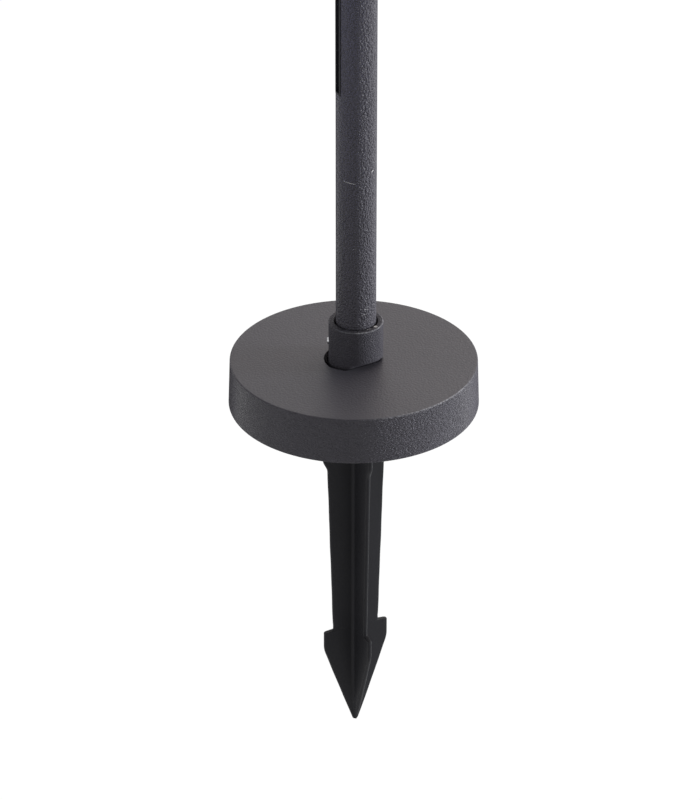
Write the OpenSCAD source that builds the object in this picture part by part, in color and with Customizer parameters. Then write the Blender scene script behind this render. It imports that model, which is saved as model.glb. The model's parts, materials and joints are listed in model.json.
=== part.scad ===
// Slim garden post lamp: a coated tube with a light slot, a socket, a loose ground disc and a barbed spike.
// The lamp's front, where the slot faces, is -Y. The ground line is z = 0.

/* [Post] */
// Outside diameter of the coated tube
post_d = 20.2; // [18:0.1:26]
// Wall of the tube
post_wall = 1.6; // [1.2:0.1:2]
// Height of the cap's top above the ground
lamp_h = 400; // [360:5:700]
// Turn of the post about its own axis, seen from above
post_turn = 0; // [-45:1:45]

/* [Light slot] */
// Height of the slot's lower end above the ground
slot_low = 172; // [160:1:200]
// Width of the slot in the tube
slot_w = 5.6; // [4.6:0.1:6.4]
// Tube left whole between the slot and the top cap
slot_to_cap = 25; // [20:1:60]
// How far the housing stands proud of the tube
housing_proud = 0.3; // [0.1:0.1:0.8]
// Width of the open groove in the housing
groove_w = 3.4; // [2.4:0.1:3.8]
// Depth from the tube's surface to the diffuser
groove_depth = 3.2; // [2.4:0.1:3.6]
// Width of the housing's hidden flange
housing_flange_w = 9.4; // [8.6:0.1:10.4]
// Length of hidden flange past each end of the slot
housing_lap = 4; // [3:0.5:8]
// Thickness of the rubber seal behind the tube wall
gasket_t = 0.4; // [0.2:0.1:0.8]
// Width of the diffuser strip
diffuser_w = 5.2; // [4.4:0.1:5.8]
// Thickness of the diffuser strip
diffuser_t = 1.5; // [1:0.1:2]

/* [Ground disc] */
// Diameter of the disc at its top edge
disc_d = 125; // [100:1:180]
// Diameter of the disc at its foot
disc_foot_d = 126.8; // [101:0.2:184]
// Height of the disc
disc_h = 24.3; // [18:0.1:40]
// Thickness of the disc's top and side
disc_wall = 3; // [2:0.1:5]
// Radius of the disc's top edge
disc_edge_r = 0.6; // [0.3:0.1:2]
// Radial room between the disc's hole and the socket
disc_room = 1.2; // [0.6:0.1:2]
// Room between the flat of the hole and the flat of the socket
disc_flat_room = 1.5; // [0.8:0.1:2.5]
// Room at each end of the flat
disc_corner_room = 0.95; // [0.95:0.05:2]
// How far the loose disc lies off the post's axis
disc_offset = 1.05; // [0:0.05:1.1]
// Direction in which it lies off the axis
disc_offset_turn = -115; // [-180:5:180]
// Thickness of the boss round the disc's hole
boss_wall = 2.8; // [2:0.1:5]
// Number of ribs under the disc
rib_count = 6; // [4:1:12]
// Thickness of a rib
rib_t = 2; // [1.2:0.1:4]
// Depth of a rib
rib_h = 9; // [4:0.5:14]

/* [Post socket] */
// Outside diameter of the socket
socket_d = 27.5; // [26:0.1:36]
// How far the socket stands above the disc
socket_rise = 21.6; // [19:0.1:40]
// Depth of the bore that takes the post
socket_depth = 15.4; // [14:0.1:16]
// Radius of the socket's top edge
socket_edge_r = 0.6; // [0.3:0.1:1.5]
// Radial room between post and bore
post_room = 0.06; // [0.03:0.01:0.1]
// Extra radius of the bore's relieved mouth
mouth_room = 0.85; // [0.2:0.05:1.2]
// Depth of the relieved mouth
mouth_depth = 3.6; // [1:0.1:4]
// Distance of the socket's flat from the axis
key_flat = 8.1; // [7.4:0.1:10]
// Half the straight length of the flat
key_half = 6.8; // [6:0.1:7.5]
// Corner radius at the ends of the flat
key_corner_r = 5; // [3:0.1:6]
// Slope of the bevel that runs out above the flat
key_bevel = 20; // [10:1:25]
// Distance from the axis at which the bevel starts
key_bevel_start = 6.4; // [4:0.1:7]
// Height from the disc's top to the shoulder over the flat, which the disc can lift by
key_headroom = 0.8; // [0.3:0.1:2]
// Direction of the flat, seen from above
key_turn = 5; // [-180:5:180]

/* [Clamp screw] */
// Thread diameter of the clamp screw
clamp_d = 4; // [3:0.5:5]
// How far its end stands out of the socket
clamp_proud = 0.7; // [0.3:0.1:1.5]
// Distance of the screw below the socket's top
clamp_drop = 11.6; // [8:0.1:12]
// Width across the flats of its hex recess
clamp_hex = 2; // [1.5:0.1:2.5]
// Depth of the hex recess
clamp_hex_depth = 2; // [1:0.1:2.5]
// Direction of the screw, seen from above
clamp_turn = -115; // [-180:5:180]

/* [Ground spike] */
// Diameter of the round flange under the socket
flange_d = 44; // [40:1:60]
// Thickness of the flange
flange_t = 4; // [3:0.1:6]
// Diameter of the hub below the flange
hub_d = 24; // [22:0.5:30]
// Depth of the hub below the ground line
hub_depth = 25; // [22:0.5:28]
// Wall left at the hub's lower end
hub_floor = 3; // [2:0.1:5]
// Reach of the blades from the axis next to the hub
head_r = 18.4; // [17:0.1:21]
// Depth at which the wide head ends
head_depth = 31; // [29:0.5:40]
// Length of the flare from the head to the blade
flare_h = 8; // [4:0.1:12]
// Reach of a blade below the flare
blade_top_r = 15.8; // [13:0.1:17]
// Reach of a blade just above the barb
blade_neck_r = 12.8; // [10:0.1:13]
// Depth of the barb's upper edge
barb_depth = 135.3; // [110:0.1:200]
// Reach of the barb
barb_r = 18.1; // [15:0.1:20]
// Height of the barb's upright edge
barb_h = 10.9; // [6:0.1:14]
// Slope of the barb's upper edge, from inside to outside
barb_drop = 0.5; // [0:0.1:4]
// Depth of the spike's tip
spike_depth = 195; // [165:1:260]
// Radius of the rounded corner under the barb
barb_corner_r = 16; // [4:0.5:24]
// Radius of the rounded tip
tip_r = 1.7; // [1:0.1:3]
// Thickness of a blade
blade_t = 2.6; // [2:0.1:4]
// Radius of the core where the blades meet
core_r = 3.2; // [2:0.1:5]
// Thickness of the stiffening bead along the blades' roots
root_t = 4; // [3:0.1:5]
// Reach of the stiffening bead
root_r = 6; // [4:0.1:8]

/* [Cable way] */
// Thread diameter of the hollow nipple
nipple_d = 10; // [8:0.5:11]
// Bore of the hollow nipple
nipple_bore_d = 7; // [5:0.5:7.5]
// Length of thread above the socket's floor
nipple_rise = 5.8; // [5.4:0.1:7]
// Width across the flats of the nut
nut_af = 14; // [12:0.5:14.2]
// Thickness of the nut
nut_t = 3.6; // [2.5:0.1:4]
// Thickness of the lock washer
washer_t = 1; // [0.6:0.1:1.4]
// Outside diameter of the lock washer
washer_d = 15.4; // [14:0.1:16]
// Outside diameter of the threaded insert in the spike
insert_d = 15; // [13:0.5:17]
// Length of the threaded insert
insert_h = 10; // [6:0.5:12]
// Diameter of the chamber below the insert
chamber_d = 13; // [10:0.5:14]
// Depth of the cable port's axis below the ground line
port_depth = 16; // [15:0.5:18]
// Diameter of the cable port in the hub
port_d = 9.6; // [8:0.1:10]
// Bore of the rubber grommet
grommet_bore_d = 6.6; // [5:0.1:7]
// Lip of the grommet outside the hub
grommet_lip = 1.2; // [0.8:0.1:2]
// Direction of the cable port, seen from above
port_turn = 135; // [135:90:315]

/* [Light engine] */
// Distance of the board's seat in front of the axis
seat_y = 2.4; // [2:0.1:2.6]
// Width of the light board
board_w = 8; // [6:0.1:8.2]
// Thickness of the light board
board_t = 1; // [0.8:0.1:1.2]
// Number of light chips
chip_count = 24; // [8:1:36]
// Width of a light chip
chip_w = 2.8; // [2:0.1:3.5]
// Length of a light chip
chip_l = 3.5; // [2:0.1:4]
// Height of a light chip
chip_t = 0.7; // [0.4:0.1:0.9]
// Length of heat sink past each end of the slot
sink_lap = 8; // [6:0.5:12]
// Diameter of the screw port along the heat sink
sink_port_d = 2.5; // [2:0.1:2.6]
// Diameter of the flutes along the heat sink's back
flute_d = 2.4; // [1.6:0.1:3]
// Number of flutes along the heat sink's back
flute_count = 5; // [3:2:7]
// Angle between two flutes, seen along the post
flute_pitch = 30; // [20:1:34]
// Thread diameter of the small screws
small_screw_d = 2.5; // [2:0.1:3]
// Height of the lower screw that holds the heat sink
sink_screw_low = 236; // [225:1:260]

/* [Driver] */
// Outside diameter of the insulating sleeve
sleeve_d = 16.7; // [16:0.1:16.8]
// Wall of the insulating sleeve
sleeve_wall = 0.6; // [0.4:0.1:0.8]
// Length of the insulating sleeve
sleeve_h = 100; // [96:1:104]
// Height of the bush in the post's foot
bush_h = 9; // [6:0.5:12]
// Cable hole of the bush
bush_bore_d = 7; // [5:0.5:8]
// Width of the terminal block
terminal_w = 10; // [8:0.5:11]
// Depth of the terminal block
terminal_t = 8; // [6:0.5:9]
// Height of the terminal block
terminal_h = 15; // [12:0.5:17]
// Length of the driver's circuit board
driver_l = 66; // [60:1:70]
// Width of the driver's circuit board
driver_w = 14.6; // [12:0.1:14.8]
// Thickness of the driver's circuit board
driver_t = 1.2; // [1:0.1:1.6]
// Diameter of an insulated lead
lead_d = 1.3; // [1:0.1:1.6]

/* [Top cap] */
// Thickness of the cap's visible plate
cap_t = 3; // [2:0.1:5]
// Radius of the cap's top edge
cap_edge_r = 0.8; // [0.3:0.1:1.5]
// Length of the cap's spigot
spigot_h = 9; // [7:0.5:10]
// Section of the sealing ring
ring_t = 1.4; // [1:0.1:1.6]
// Thread diameter of the cap screw
cap_screw_d = 2.4; // [2:0.1:2.5]
// Length of the cap screw
cap_screw_l = 20; // [18:0.5:26]

/* [Hidden] */

// Smoothness of round shapes
$fn = 96;
// Steps along a rounded edge
edge_steps = 6;
// Steps along the flare
flare_steps = 6;
// Overrun of every cut
overrun = 0.5;
// Gap between pieces that are seated on each other
seat_gap = 0.05;
// Gap round a threaded or pressed piece
thread_gap = 0.03;

coat_dark = [0.235, 0.233, 0.25];
coat_disc = [0.33, 0.325, 0.345];
plastic_black = [0.09, 0.09, 0.1];
steel = [0.72, 0.73, 0.75];
brass = [0.78, 0.63, 0.33];
opal = [0.93, 0.93, 0.9];
board_white = [0.9, 0.92, 0.93];
chip_yellow = [0.95, 0.85, 0.45];
board_green = [0.12, 0.38, 0.22];

// Post and tube
post_r = post_d / 2;
tube_in_r = post_r - post_wall;
cap_low = lamp_h - cap_t;
slot_high = cap_low - slot_to_cap;

// Socket, from the ground line up
socket_r = socket_d / 2;
socket_top = disc_h + socket_rise;
socket_floor = socket_top - socket_depth;
bore_r = post_r + post_room;
mouth_r = post_r + mouth_room;
post_foot = socket_floor + seat_gap;
clamp_z = socket_top - clamp_drop;
clamp_r = clamp_d / 2;
clamp_tip = post_r + seat_gap;
clamp_end = socket_r + clamp_proud;
clamp_bevel = clamp_d / 8;

// Disc
disc_r = disc_d / 2;
disc_foot_r = disc_foot_d / 2;
disc_under = disc_h - disc_wall;
hole_r = socket_r + disc_room;
hole_flat = key_flat + disc_flat_room;
boss_r = hole_r + boss_wall;
key_sweep = 60;

// Spike
barb_low = barb_depth + barb_drop + barb_h;
tip_z = -spike_depth + tip_r;
point_h = -barb_low - tip_z;
point_lean = atan2(point_h, barb_r) - acos(tip_r / norm([barb_r, point_h]));

// Nipple, nut and insert
nipple_r = nipple_d / 2;
nipple_low = -insert_h + washer_t;
nipple_high = socket_floor + nipple_rise;
nut_low = socket_floor + washer_t;

// Foot of the post, from below up
bush_low = nipple_high + washer_t;
bush_high = bush_low + bush_h;
bush_r = tube_in_r - thread_gap;
sleeve_r = sleeve_d / 2;
sleeve_in_r = sleeve_r - sleeve_wall;
terminal_high = bush_high + terminal_h;
terminal_x = terminal_w / 4;
terminal_z = terminal_h / 4;
driver_low = terminal_high + lead_d * 4;
driver_high = driver_low + driver_l;

// Light slot, front to back
housing_front = post_r + housing_proud;
housing_r = tube_in_r - gasket_t;
diffuser_front = post_r - groove_depth;
diffuser_back = diffuser_front - diffuser_t;
housing_back = diffuser_back - seat_gap;
sink_r = tube_in_r - seat_gap;
sink_front = housing_back - seat_gap;
sink_low = slot_low - sink_lap;
sink_high = slot_high + sink_lap;
board_front = seat_y + board_t;
channel_w = board_w + 2 * seat_gap;
board_low = slot_low - housing_lap;
board_high = slot_high + housing_lap;
chip_pitch = (slot_high - slot_low) / chip_count;

// Screws
drive_share = 0.6;
small_r = small_screw_d / 2;
sink_screw_high = slot_high - housing_lap * 3;
small_head_r = small_screw_d;
small_head_t = small_screw_d / 2;

// Points of a quarter arc about [cx, cz], from angle a0 to a1
function arc(cx, cz, r, a0, a1, steps = edge_steps) =
    [for (i = [0 : steps]) let (a = a0 + (a1 - a0) * i / steps) [cx + r * cos(a), cz + r * sin(a)]];

// Outline with one flat facing +X: a circle cut by a flat whose ends turn away in an arc
module keyed_outline(r, flat, half, corner) {
    reach = 2 * r;
    arc_low = arc(flat - corner, -half, corner, -key_sweep, 0);
    arc_high = arc(flat - corner, half, corner, 0, key_sweep);
    tail = reach * [-sin(key_sweep), cos(key_sweep)];
    intersection() {
        circle(r);
        polygon(concat(
            [[-reach, -reach], arc_low[0] + [tail[0], -tail[1]]],
            arc_low, arc_high,
            [arc_high[edge_steps] + tail, [-reach, reach]]
        ));
    }
}

// Ring with a square section
module ring(r_out, r_in, h) {
    difference() {
        cylinder(h = h, r = r_out);
        translate([0, 0, -overrun]) cylinder(h = h + 2 * overrun, r = r_in);
    }
}

// Hexagonal prism measured across its flats
module hex_prism(af, h) {
    cylinder(h = h, r = af / sqrt(3), $fn = 6);
}

// Countersunk screw with its head's top at z = 0 and its shank downwards
module countersunk_screw(shank_r, head_r, head_t, length) {
    difference() {
        rotate_extrude() polygon([
            [0, 0], [head_r, 0], [head_r, -head_t / 4], [shank_r, -head_t], [shank_r, -length], [0, -length]
        ]);
        translate([0, 0, -head_t]) hex_prism(2 * shank_r * drive_share, head_t + overrun);
    }
}

// Hole that a countersunk screw sits in, with its mouth at z = 0
module countersink(shank_r, head_r, head_t, length) {
    rotate_extrude() polygon([
        [0, overrun], [head_r + thread_gap, overrun], [head_r + thread_gap, -head_t / 4 - thread_gap],
        [shank_r + thread_gap, -head_t - thread_gap], [shank_r + thread_gap, -length - thread_gap],
        [0, -length - thread_gap]
    ]);
}

// Round lead along a list of points, as one closed tube
module lead(path, r, sides = 8) {
    count = len(path);
    rings = [for (i = [0 : count - 1])
        let (
            before = path[max(i - 1, 0)],
            after = path[min(i + 1, count - 1)],
            along = (after - before) / norm(after - before),
            side = cross(along, [1, 0, 0]),
            u = side / norm(side),
            v = cross(along, u)
        )
        for (k = [0 : sides - 1]) path[i] + r * (cos(360 * k / sides) * u + sin(360 * k / sides) * v)
    ];
    walls = [for (i = [0 : count - 2], k = [0 : sides - 1]) let (n = (k + 1) % sides)
        [i * sides + k, i * sides + n, (i + 1) * sides + n, (i + 1) * sides + k]];
    ends = [
        [for (k = [sides - 1 : -1 : 0]) k],
        [for (k = [0 : sides - 1]) (count - 1) * sides + k]
    ];
    polyhedron(rings, concat(walls, ends), convexity = 4);
}

// One blade's outline: reach from the axis against depth
function flare_points() = [for (i = [0 : flare_steps])
    let (s = i / flare_steps, ease = (1 - cos(180 * s)) / 2)
    [head_r + (blade_top_r - head_r) * ease, -head_depth - flare_h * s]];

// Straight edge from the rounded corner under the barb to the rounded tip
function point_points() = concat(
    arc(barb_r - barb_corner_r, -barb_low - barb_corner_r * tan(point_lean / 2), barb_corner_r, 0, point_lean),
    arc(0, tip_z, tip_r, point_lean, -90)
);

module blade_pair() {
    half_outline = concat(
        [[head_r, -flange_t + overrun]],
        flare_points(),
        [[blade_neck_r, -barb_depth], [barb_r, -barb_depth - barb_drop]],
        point_points()
    );
    count = len(half_outline);
    rotate([90, 0, 0]) translate([0, 0, -blade_t / 2]) linear_extrude(blade_t)
        polygon(concat(
            half_outline,
            [for (i = [count - 2 : -1 : 0]) [-half_outline[i][0], half_outline[i][1]]]
        ));
}

// Bead along the roots of a pair of blades, running out before the point
module root_bead() {
    rotate([90, 0, 0]) translate([0, 0, -root_t / 2]) linear_extrude(root_t)
        polygon([
            [root_r, -hub_depth + overrun], [core_r, -barb_low],
            [-core_r, -barb_low], [-root_r, -hub_depth + overrun]
        ]);
}

module ground_spike() {
    core_depth = spike_depth - 3 * blade_t;
    color(plastic_black) difference() {
        union() {
            translate([0, 0, -flange_t]) cylinder(h = flange_t, d = flange_d);
            translate([0, 0, -hub_depth]) cylinder(h = hub_depth, d = hub_d);
            for (turn = [0, 90]) rotate(turn) {
                blade_pair();
                root_bead();
            }
            translate([0, 0, -core_depth]) cylinder(h = core_depth, r1 = blade_t / 2, r2 = core_r);
        }
        translate([0, 0, -insert_h - seat_gap])
            cylinder(h = insert_h + seat_gap + overrun, d = insert_d + 2 * thread_gap);
        translate([0, 0, -hub_depth + hub_floor]) cylinder(h = hub_depth - hub_floor, d = chamber_d);
        rotate(port_turn) translate([0, 0, -port_depth]) rotate([0, 90, 0]) cylinder(h = hub_d, d = port_d);
    }
}

module spike_insert() {
    groove = insert_h / 5;
    color(brass) translate([0, 0, -insert_h]) difference() {
        cylinder(h = insert_h, d = insert_d);
        translate([0, 0, -overrun]) cylinder(h = insert_h + 2 * overrun, r = nipple_r + thread_gap);
        translate([0, 0, 2 * groove]) ring(insert_d, insert_d / 2 - groove / 4, groove);
    }
}

module cable_grommet() {
    hub_r = hub_d / 2;
    inner = chamber_d / 2;
    color(plastic_black) rotate(port_turn) translate([0, 0, -port_depth]) rotate([0, 90, 0])
        rotate_extrude() polygon([
            [grommet_bore_d / 2, inner], [port_d / 2 - thread_gap, inner], [port_d / 2 - thread_gap, hub_r],
            [port_d / 2 + grommet_lip, hub_r], [port_d / 2 + grommet_lip, hub_r + grommet_lip],
            [grommet_bore_d / 2, hub_r + grommet_lip]
        ]);
}

module post_socket() {
    shoulder = disc_h + key_headroom;
    color(coat_dark) difference() {
        rotate_extrude() polygon(concat(
            [[nipple_r + thread_gap, 0], [socket_r, 0]],
            arc(socket_r - socket_edge_r, socket_top - socket_edge_r, socket_edge_r, 0, 90),
            [
                [mouth_r + socket_edge_r / 2, socket_top], [mouth_r, socket_top - socket_edge_r / 2],
                [mouth_r, socket_top - mouth_depth], [bore_r, socket_top - mouth_depth - mouth_room],
                [bore_r, socket_floor], [nipple_r + thread_gap, socket_floor]
            ]
        ));
        rotate(key_turn) intersection() {
            translate([0, 0, -overrun]) linear_extrude(socket_floor) difference() {
                circle(2 * socket_r);
                keyed_outline(2 * socket_r + overrun, key_flat, key_half, key_corner_r);
            }
            rotate([90, 0, 0]) translate([0, 0, -2 * socket_r]) linear_extrude(4 * socket_r) polygon([
                [-socket_d, -overrun], [-socket_d, shoulder], [key_bevel_start, shoulder],
                [socket_d, shoulder + (socket_d - key_bevel_start) * tan(key_bevel)], [socket_d, -overrun]
            ]);
        }
        rotate(clamp_turn) translate([0, 0, clamp_z]) rotate([0, 90, 0])
            cylinder(h = socket_d, r = clamp_r + thread_gap);
    }
}

module clamp_screw() {
    color(steel) rotate(clamp_turn) translate([0, 0, clamp_z]) rotate([0, 90, 0]) difference() {
        rotate_extrude() polygon([
            [0, clamp_tip], [clamp_r - clamp_bevel, clamp_tip], [clamp_r, clamp_tip + clamp_bevel],
            [clamp_r, clamp_end - clamp_bevel], [clamp_r - clamp_bevel, clamp_end], [0, clamp_end]
        ]);
        translate([0, 0, clamp_end - clamp_hex_depth]) hex_prism(clamp_hex, clamp_hex_depth + overrun);
    }
}

module threaded_nipple() {
    color(brass) translate([0, 0, nipple_low]) ring(nipple_r, nipple_bore_d / 2, nipple_high - nipple_low);
}

module nipple_nut() {
    color(steel) translate([0, 0, nut_low + seat_gap]) difference() {
        hex_prism(nut_af, nut_t);
        translate([0, 0, -overrun]) cylinder(h = nut_t + 2 * overrun, r = nipple_r + thread_gap);
    }
}

module lock_washer() {
    color(steel) translate([0, 0, socket_floor + seat_gap / 2])
        ring(washer_d / 2, nipple_r + thread_gap, washer_t);
}

module base_disc() {
    color(coat_disc)
    rotate(disc_offset_turn) translate([disc_offset, 0, 0]) rotate(-disc_offset_turn)
    rotate(key_turn) difference() {
        union() {
            rotate_extrude() polygon(concat(
                [[0, disc_under], [disc_r - disc_wall, disc_under]],
                [[disc_foot_r - disc_wall, 0], [disc_foot_r, 0]],
                arc(disc_r - disc_edge_r, disc_h - disc_edge_r, disc_edge_r, 0, 90),
                [[0, disc_h]]
            ));
            cylinder(h = disc_h - disc_edge_r, r = boss_r);
            for (i = [0 : rib_count - 1]) rotate(360 * i / rib_count + 180 / rib_count)
                translate([boss_r - boss_wall / 2, -rib_t / 2, disc_under - rib_h])
                    cube([disc_r - disc_wall / 2 - boss_r, rib_t, rib_h + disc_wall / 2]);
        }
        translate([0, 0, -overrun]) linear_extrude(disc_h + 2 * overrun)
            keyed_outline(hole_r, hole_flat, key_half + disc_corner_room, key_corner_r);
    }
}

module post_tube() {
    color(coat_dark) rotate(post_turn) difference() {
        cylinder(h = cap_low, r = post_r);
        translate([0, 0, -overrun]) cylinder(h = cap_low + 2 * overrun, r = tube_in_r);
        translate([0, 0, -overrun]) cylinder(h = post_foot + overrun, r = post_d);
        translate([-slot_w / 2, -post_d, slot_low]) cube([slot_w, post_d, slot_high - slot_low]);
        for (z = [sink_screw_low, sink_screw_high]) translate([0, post_r, z]) rotate([-90, 0, 0])
            countersink(small_r, small_head_r, small_head_t, post_r);
    }
}

module foot_bush() {
    color(plastic_black) rotate(post_turn) translate([0, 0, bush_low]) ring(bush_r, bush_bore_d / 2, bush_h);
}

module terminal_block() {
    color(opal) rotate(post_turn) translate([0, 0, bush_high]) difference() {
        translate([-terminal_w / 2, -terminal_t / 2, 0]) cube([terminal_w, terminal_t, terminal_h]);
        for (side = [-1, 1]) translate([side * terminal_x, 0, -overrun])
            cylinder(h = terminal_h + 2 * overrun, d = terminal_w / 4);
        for (side = [-1, 1], z = [terminal_z, terminal_h - terminal_z]) translate([side * terminal_x, 0, z])
            rotate([90, 0, 0]) cylinder(h = terminal_t, d = terminal_w / 3);
    }
}

// Slotted screws, standing on the wires' level and just below the block's face
module terminal_screws() {
    screw_r = terminal_w / 6 - thread_gap;
    screw_h = terminal_t / 2 - terminal_w / 8 - 2 * seat_gap;
    color(steel) rotate(post_turn) translate([0, 0, bush_high])
        for (side = [-1, 1], z = [terminal_z, terminal_h - terminal_z])
            translate([side * terminal_x, -terminal_w / 8, z]) rotate([90, 0, 0]) difference() {
                cylinder(h = screw_h, r = screw_r);
                translate([-screw_r / 6, -2 * screw_r, screw_h * 2 / 3])
                    cube([screw_r / 3, 4 * screw_r, screw_h]);
            }
}

module driver_sleeve() {
    color([0.85, 0.86, 0.84]) rotate(post_turn) translate([0, 0, bush_high])
        ring(sleeve_r, sleeve_in_r, sleeve_h);
}

module driver_board() {
    color(board_green) rotate(post_turn)
        translate([-driver_w / 2, 0, driver_low]) cube([driver_w, driver_t, driver_l]);
}

// Filter, coil, chip, capacitor and output filter along the driver's board
module driver_parts() {
    filter_share = 0.08;
    coil_share = 0.34;
    chip_share = 0.48;
    can_share = 0.62;
    output_share = 0.86;
    can_r = driver_w / 5;
    color([0.2, 0.2, 0.22]) rotate(post_turn) translate([0, 0, driver_low]) {
        translate([0, -can_r, driver_l * can_share]) cylinder(h = driver_l / 5, r = can_r);
        translate([0, 0, driver_l * coil_share]) rotate([90, 0, 0])
            cylinder(h = driver_w / 4, r = driver_w / 4);
        for (block = [[filter_share, 4, 9], [chip_share, 8, 12], [output_share, 6, 14]])
            translate([-driver_w / 4, -driver_w / block[1], driver_l * block[0]])
                cube([driver_w / 2, driver_w / block[1], driver_l / block[2]]);
    }
}

// Leads from the terminal block up to the driver
module driver_leads() {
    lead_r = lead_d / 2;
    color([0.55, 0.12, 0.1]) rotate(post_turn) for (side = [-1, 1])
        lead([
            [side * terminal_x, 0, terminal_high - lead_d],
            [side * terminal_x, 0, terminal_high + lead_d],
            [side * terminal_x, -lead_r, terminal_high + 2 * lead_d],
            [side * terminal_x, -lead_d, driver_low - lead_r],
            [side * terminal_x, -lead_d, driver_low + lead_d],
            [side * terminal_x, -lead_r - seat_gap, driver_low + 3 * lead_d]
        ], lead_r);
}

// Leads from the driver up to the light board
module led_leads() {
    lead_r = lead_d / 2;
    x = board_w / 4;
    face = -board_front - lead_r - seat_gap;
    color([0.1, 0.1, 0.12]) rotate(post_turn) for (side = [-1, 1])
        lead([
            [side * x, driver_t + lead_r + seat_gap, driver_high - 3 * lead_d],
            [side * x, driver_t + lead_r + seat_gap, driver_high],
            [side * x, driver_t / 2, driver_high + 3 * lead_d],
            [side * x, face / 2, (driver_high + sink_low) / 2],
            [side * x, face + seat_gap, sink_low - 3 * lead_d],
            [side * x, face, sink_low],
            [side * x, face, board_low + lead_d]
        ], lead_r);
}

module heat_sink() {
    color([0.76, 0.77, 0.79]) rotate(post_turn) difference() {
        translate([0, 0, sink_low]) linear_extrude(sink_high - sink_low) difference() {
            intersection() {
                circle(sink_r);
                translate([-post_r, -sink_front]) square([post_d, post_d]);
            }
            translate([-channel_w / 2, -post_d]) square([channel_w, post_d - seat_y]);
            circle(d = sink_port_d);
            for (i = [0 : flute_count - 1]) rotate(90 + (i - (flute_count - 1) / 2) * flute_pitch)
                translate([sink_r, 0]) circle(d = flute_d);
        }
        for (z = [sink_screw_low, sink_screw_high]) translate([0, post_r, z]) rotate([-90, 0, 0])
            countersink(small_r, small_head_r, small_head_t, post_r - seat_y / 2);
    }
}

// Heights of the screws that hold the light board, between chips
function board_screw_heights() = [for (i = [0, floor(chip_count / 2), chip_count]) slot_low + i * chip_pitch];

module led_board() {
    color(board_white) rotate(post_turn) difference() {
        translate([-board_w / 2, -board_front, board_low]) cube([board_w, board_t, board_high - board_low]);
        for (z = board_screw_heights()) translate([0, -post_r, z]) rotate([-90, 0, 0])
            cylinder(h = post_r, d = chip_w / 2 + 2 * thread_gap);
    }
}

module led_chips() {
    color(chip_yellow) rotate(post_turn) for (i = [0 : chip_count - 1])
        translate([-chip_w / 2, -board_front - chip_t, slot_low + (2 * i + 1) / 2 * chip_pitch - chip_l / 2])
            cube([chip_w, chip_t, chip_l]);
}

module board_screws() {
    head_share = 0.9;
    screw_r = chip_w / 4;
    color(steel) rotate(post_turn) for (z = board_screw_heights())
        translate([0, -board_front, z]) rotate([90, 0, 0]) {
            cylinder(h = chip_t, r = chip_w / 2 * head_share);
            translate([0, 0, -board_t]) cylinder(h = board_t, r = screw_r);
        }
}

// Section of the slot housing: proud nose, hidden flange, open groove and diffuser pocket
module housing_section(nose) {
    nose_w = slot_w - 2 * seat_gap;
    difference() {
        union() {
            if (nose) intersection() {
                circle(housing_front);
                translate([-nose_w / 2, -post_d]) square([nose_w, post_d - housing_back]);
            }
            intersection() {
                circle(housing_r);
                translate([-housing_flange_w / 2, -post_d]) square([housing_flange_w, post_d - housing_back]);
            }
        }
        if (nose) {
            translate([-groove_w / 2, -post_d]) square([groove_w, post_d]);
            translate([-diffuser_w / 2 - seat_gap, -diffuser_front])
                square([diffuser_w + 2 * seat_gap, post_d]);
        }
    }
}

module slot_housing() {
    nose_low = slot_low + seat_gap;
    nose_high = slot_high - seat_gap;
    nose_w = slot_w - 2 * seat_gap;
    rim = (slot_w - groove_w) / 2;
    color(plastic_black) rotate(post_turn) {
        translate([0, 0, nose_low + rim])
            linear_extrude(nose_high - nose_low - 2 * rim) housing_section(true);
        for (z = [nose_low, nose_high - rim]) translate([0, 0, z]) linear_extrude(rim) intersection() {
            circle(housing_front);
            translate([-nose_w / 2, -post_d]) square([nose_w, post_d - housing_back]);
        }
        for (z = [board_low, nose_high - rim]) translate([0, 0, z])
            linear_extrude(housing_lap + rim + seat_gap) housing_section(false);
    }
}

module slot_gasket() {
    in_w = slot_w + 2 * gasket_t;
    color([0.25, 0.25, 0.27]) rotate(post_turn) difference() {
        translate([0, 0, board_low]) linear_extrude(board_high - board_low) intersection() {
            difference() {
                circle(tube_in_r - seat_gap / 2);
                circle(housing_r + seat_gap / 2);
            }
            translate([-housing_flange_w / 2, -post_d]) square([housing_flange_w, post_d]);
        }
        translate([-in_w / 2, -post_d, slot_low - gasket_t])
            cube([in_w, post_d, slot_high - slot_low + 2 * gasket_t]);
    }
}

module diffuser() {
    rim = (slot_w - groove_w) / 2;
    color(opal) rotate(post_turn)
        translate([-diffuser_w / 2, -diffuser_front + seat_gap / 2, slot_low + rim + 2 * seat_gap])
            cube([diffuser_w, diffuser_t, slot_high - slot_low - 2 * rim - 4 * seat_gap]);
}

module top_cap() {
    spigot_r = tube_in_r - seat_gap;
    groove_low = cap_low - spigot_h / 2 - ring_t / 2;
    groove_high = groove_low + ring_t + 2 * seat_gap;
    groove_r = tube_in_r - ring_t;
    color(coat_dark) rotate(post_turn) difference() {
        rotate_extrude() polygon(concat(
            [
                [0, cap_low - spigot_h], [spigot_r, cap_low - spigot_h],
                [spigot_r, groove_low], [groove_r, groove_low], [groove_r, groove_high],
                [spigot_r, groove_high], [spigot_r, cap_low + seat_gap], [post_r, cap_low + seat_gap]
            ],
            arc(post_r - cap_edge_r, lamp_h - cap_edge_r, cap_edge_r, 0, 90),
            [[0, lamp_h]]
        ));
        translate([0, 0, lamp_h])
            countersink(cap_screw_d / 2, cap_screw_d, cap_screw_d / 2, cap_screw_l);
    }
}

module cap_seal() {
    centre_z = cap_low - spigot_h / 2 + seat_gap;
    color(plastic_black) rotate(post_turn) translate([0, 0, centre_z]) rotate_extrude()
        translate([tube_in_r - ring_t / 2, 0]) circle(d = ring_t - 2 * seat_gap);
}

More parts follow.
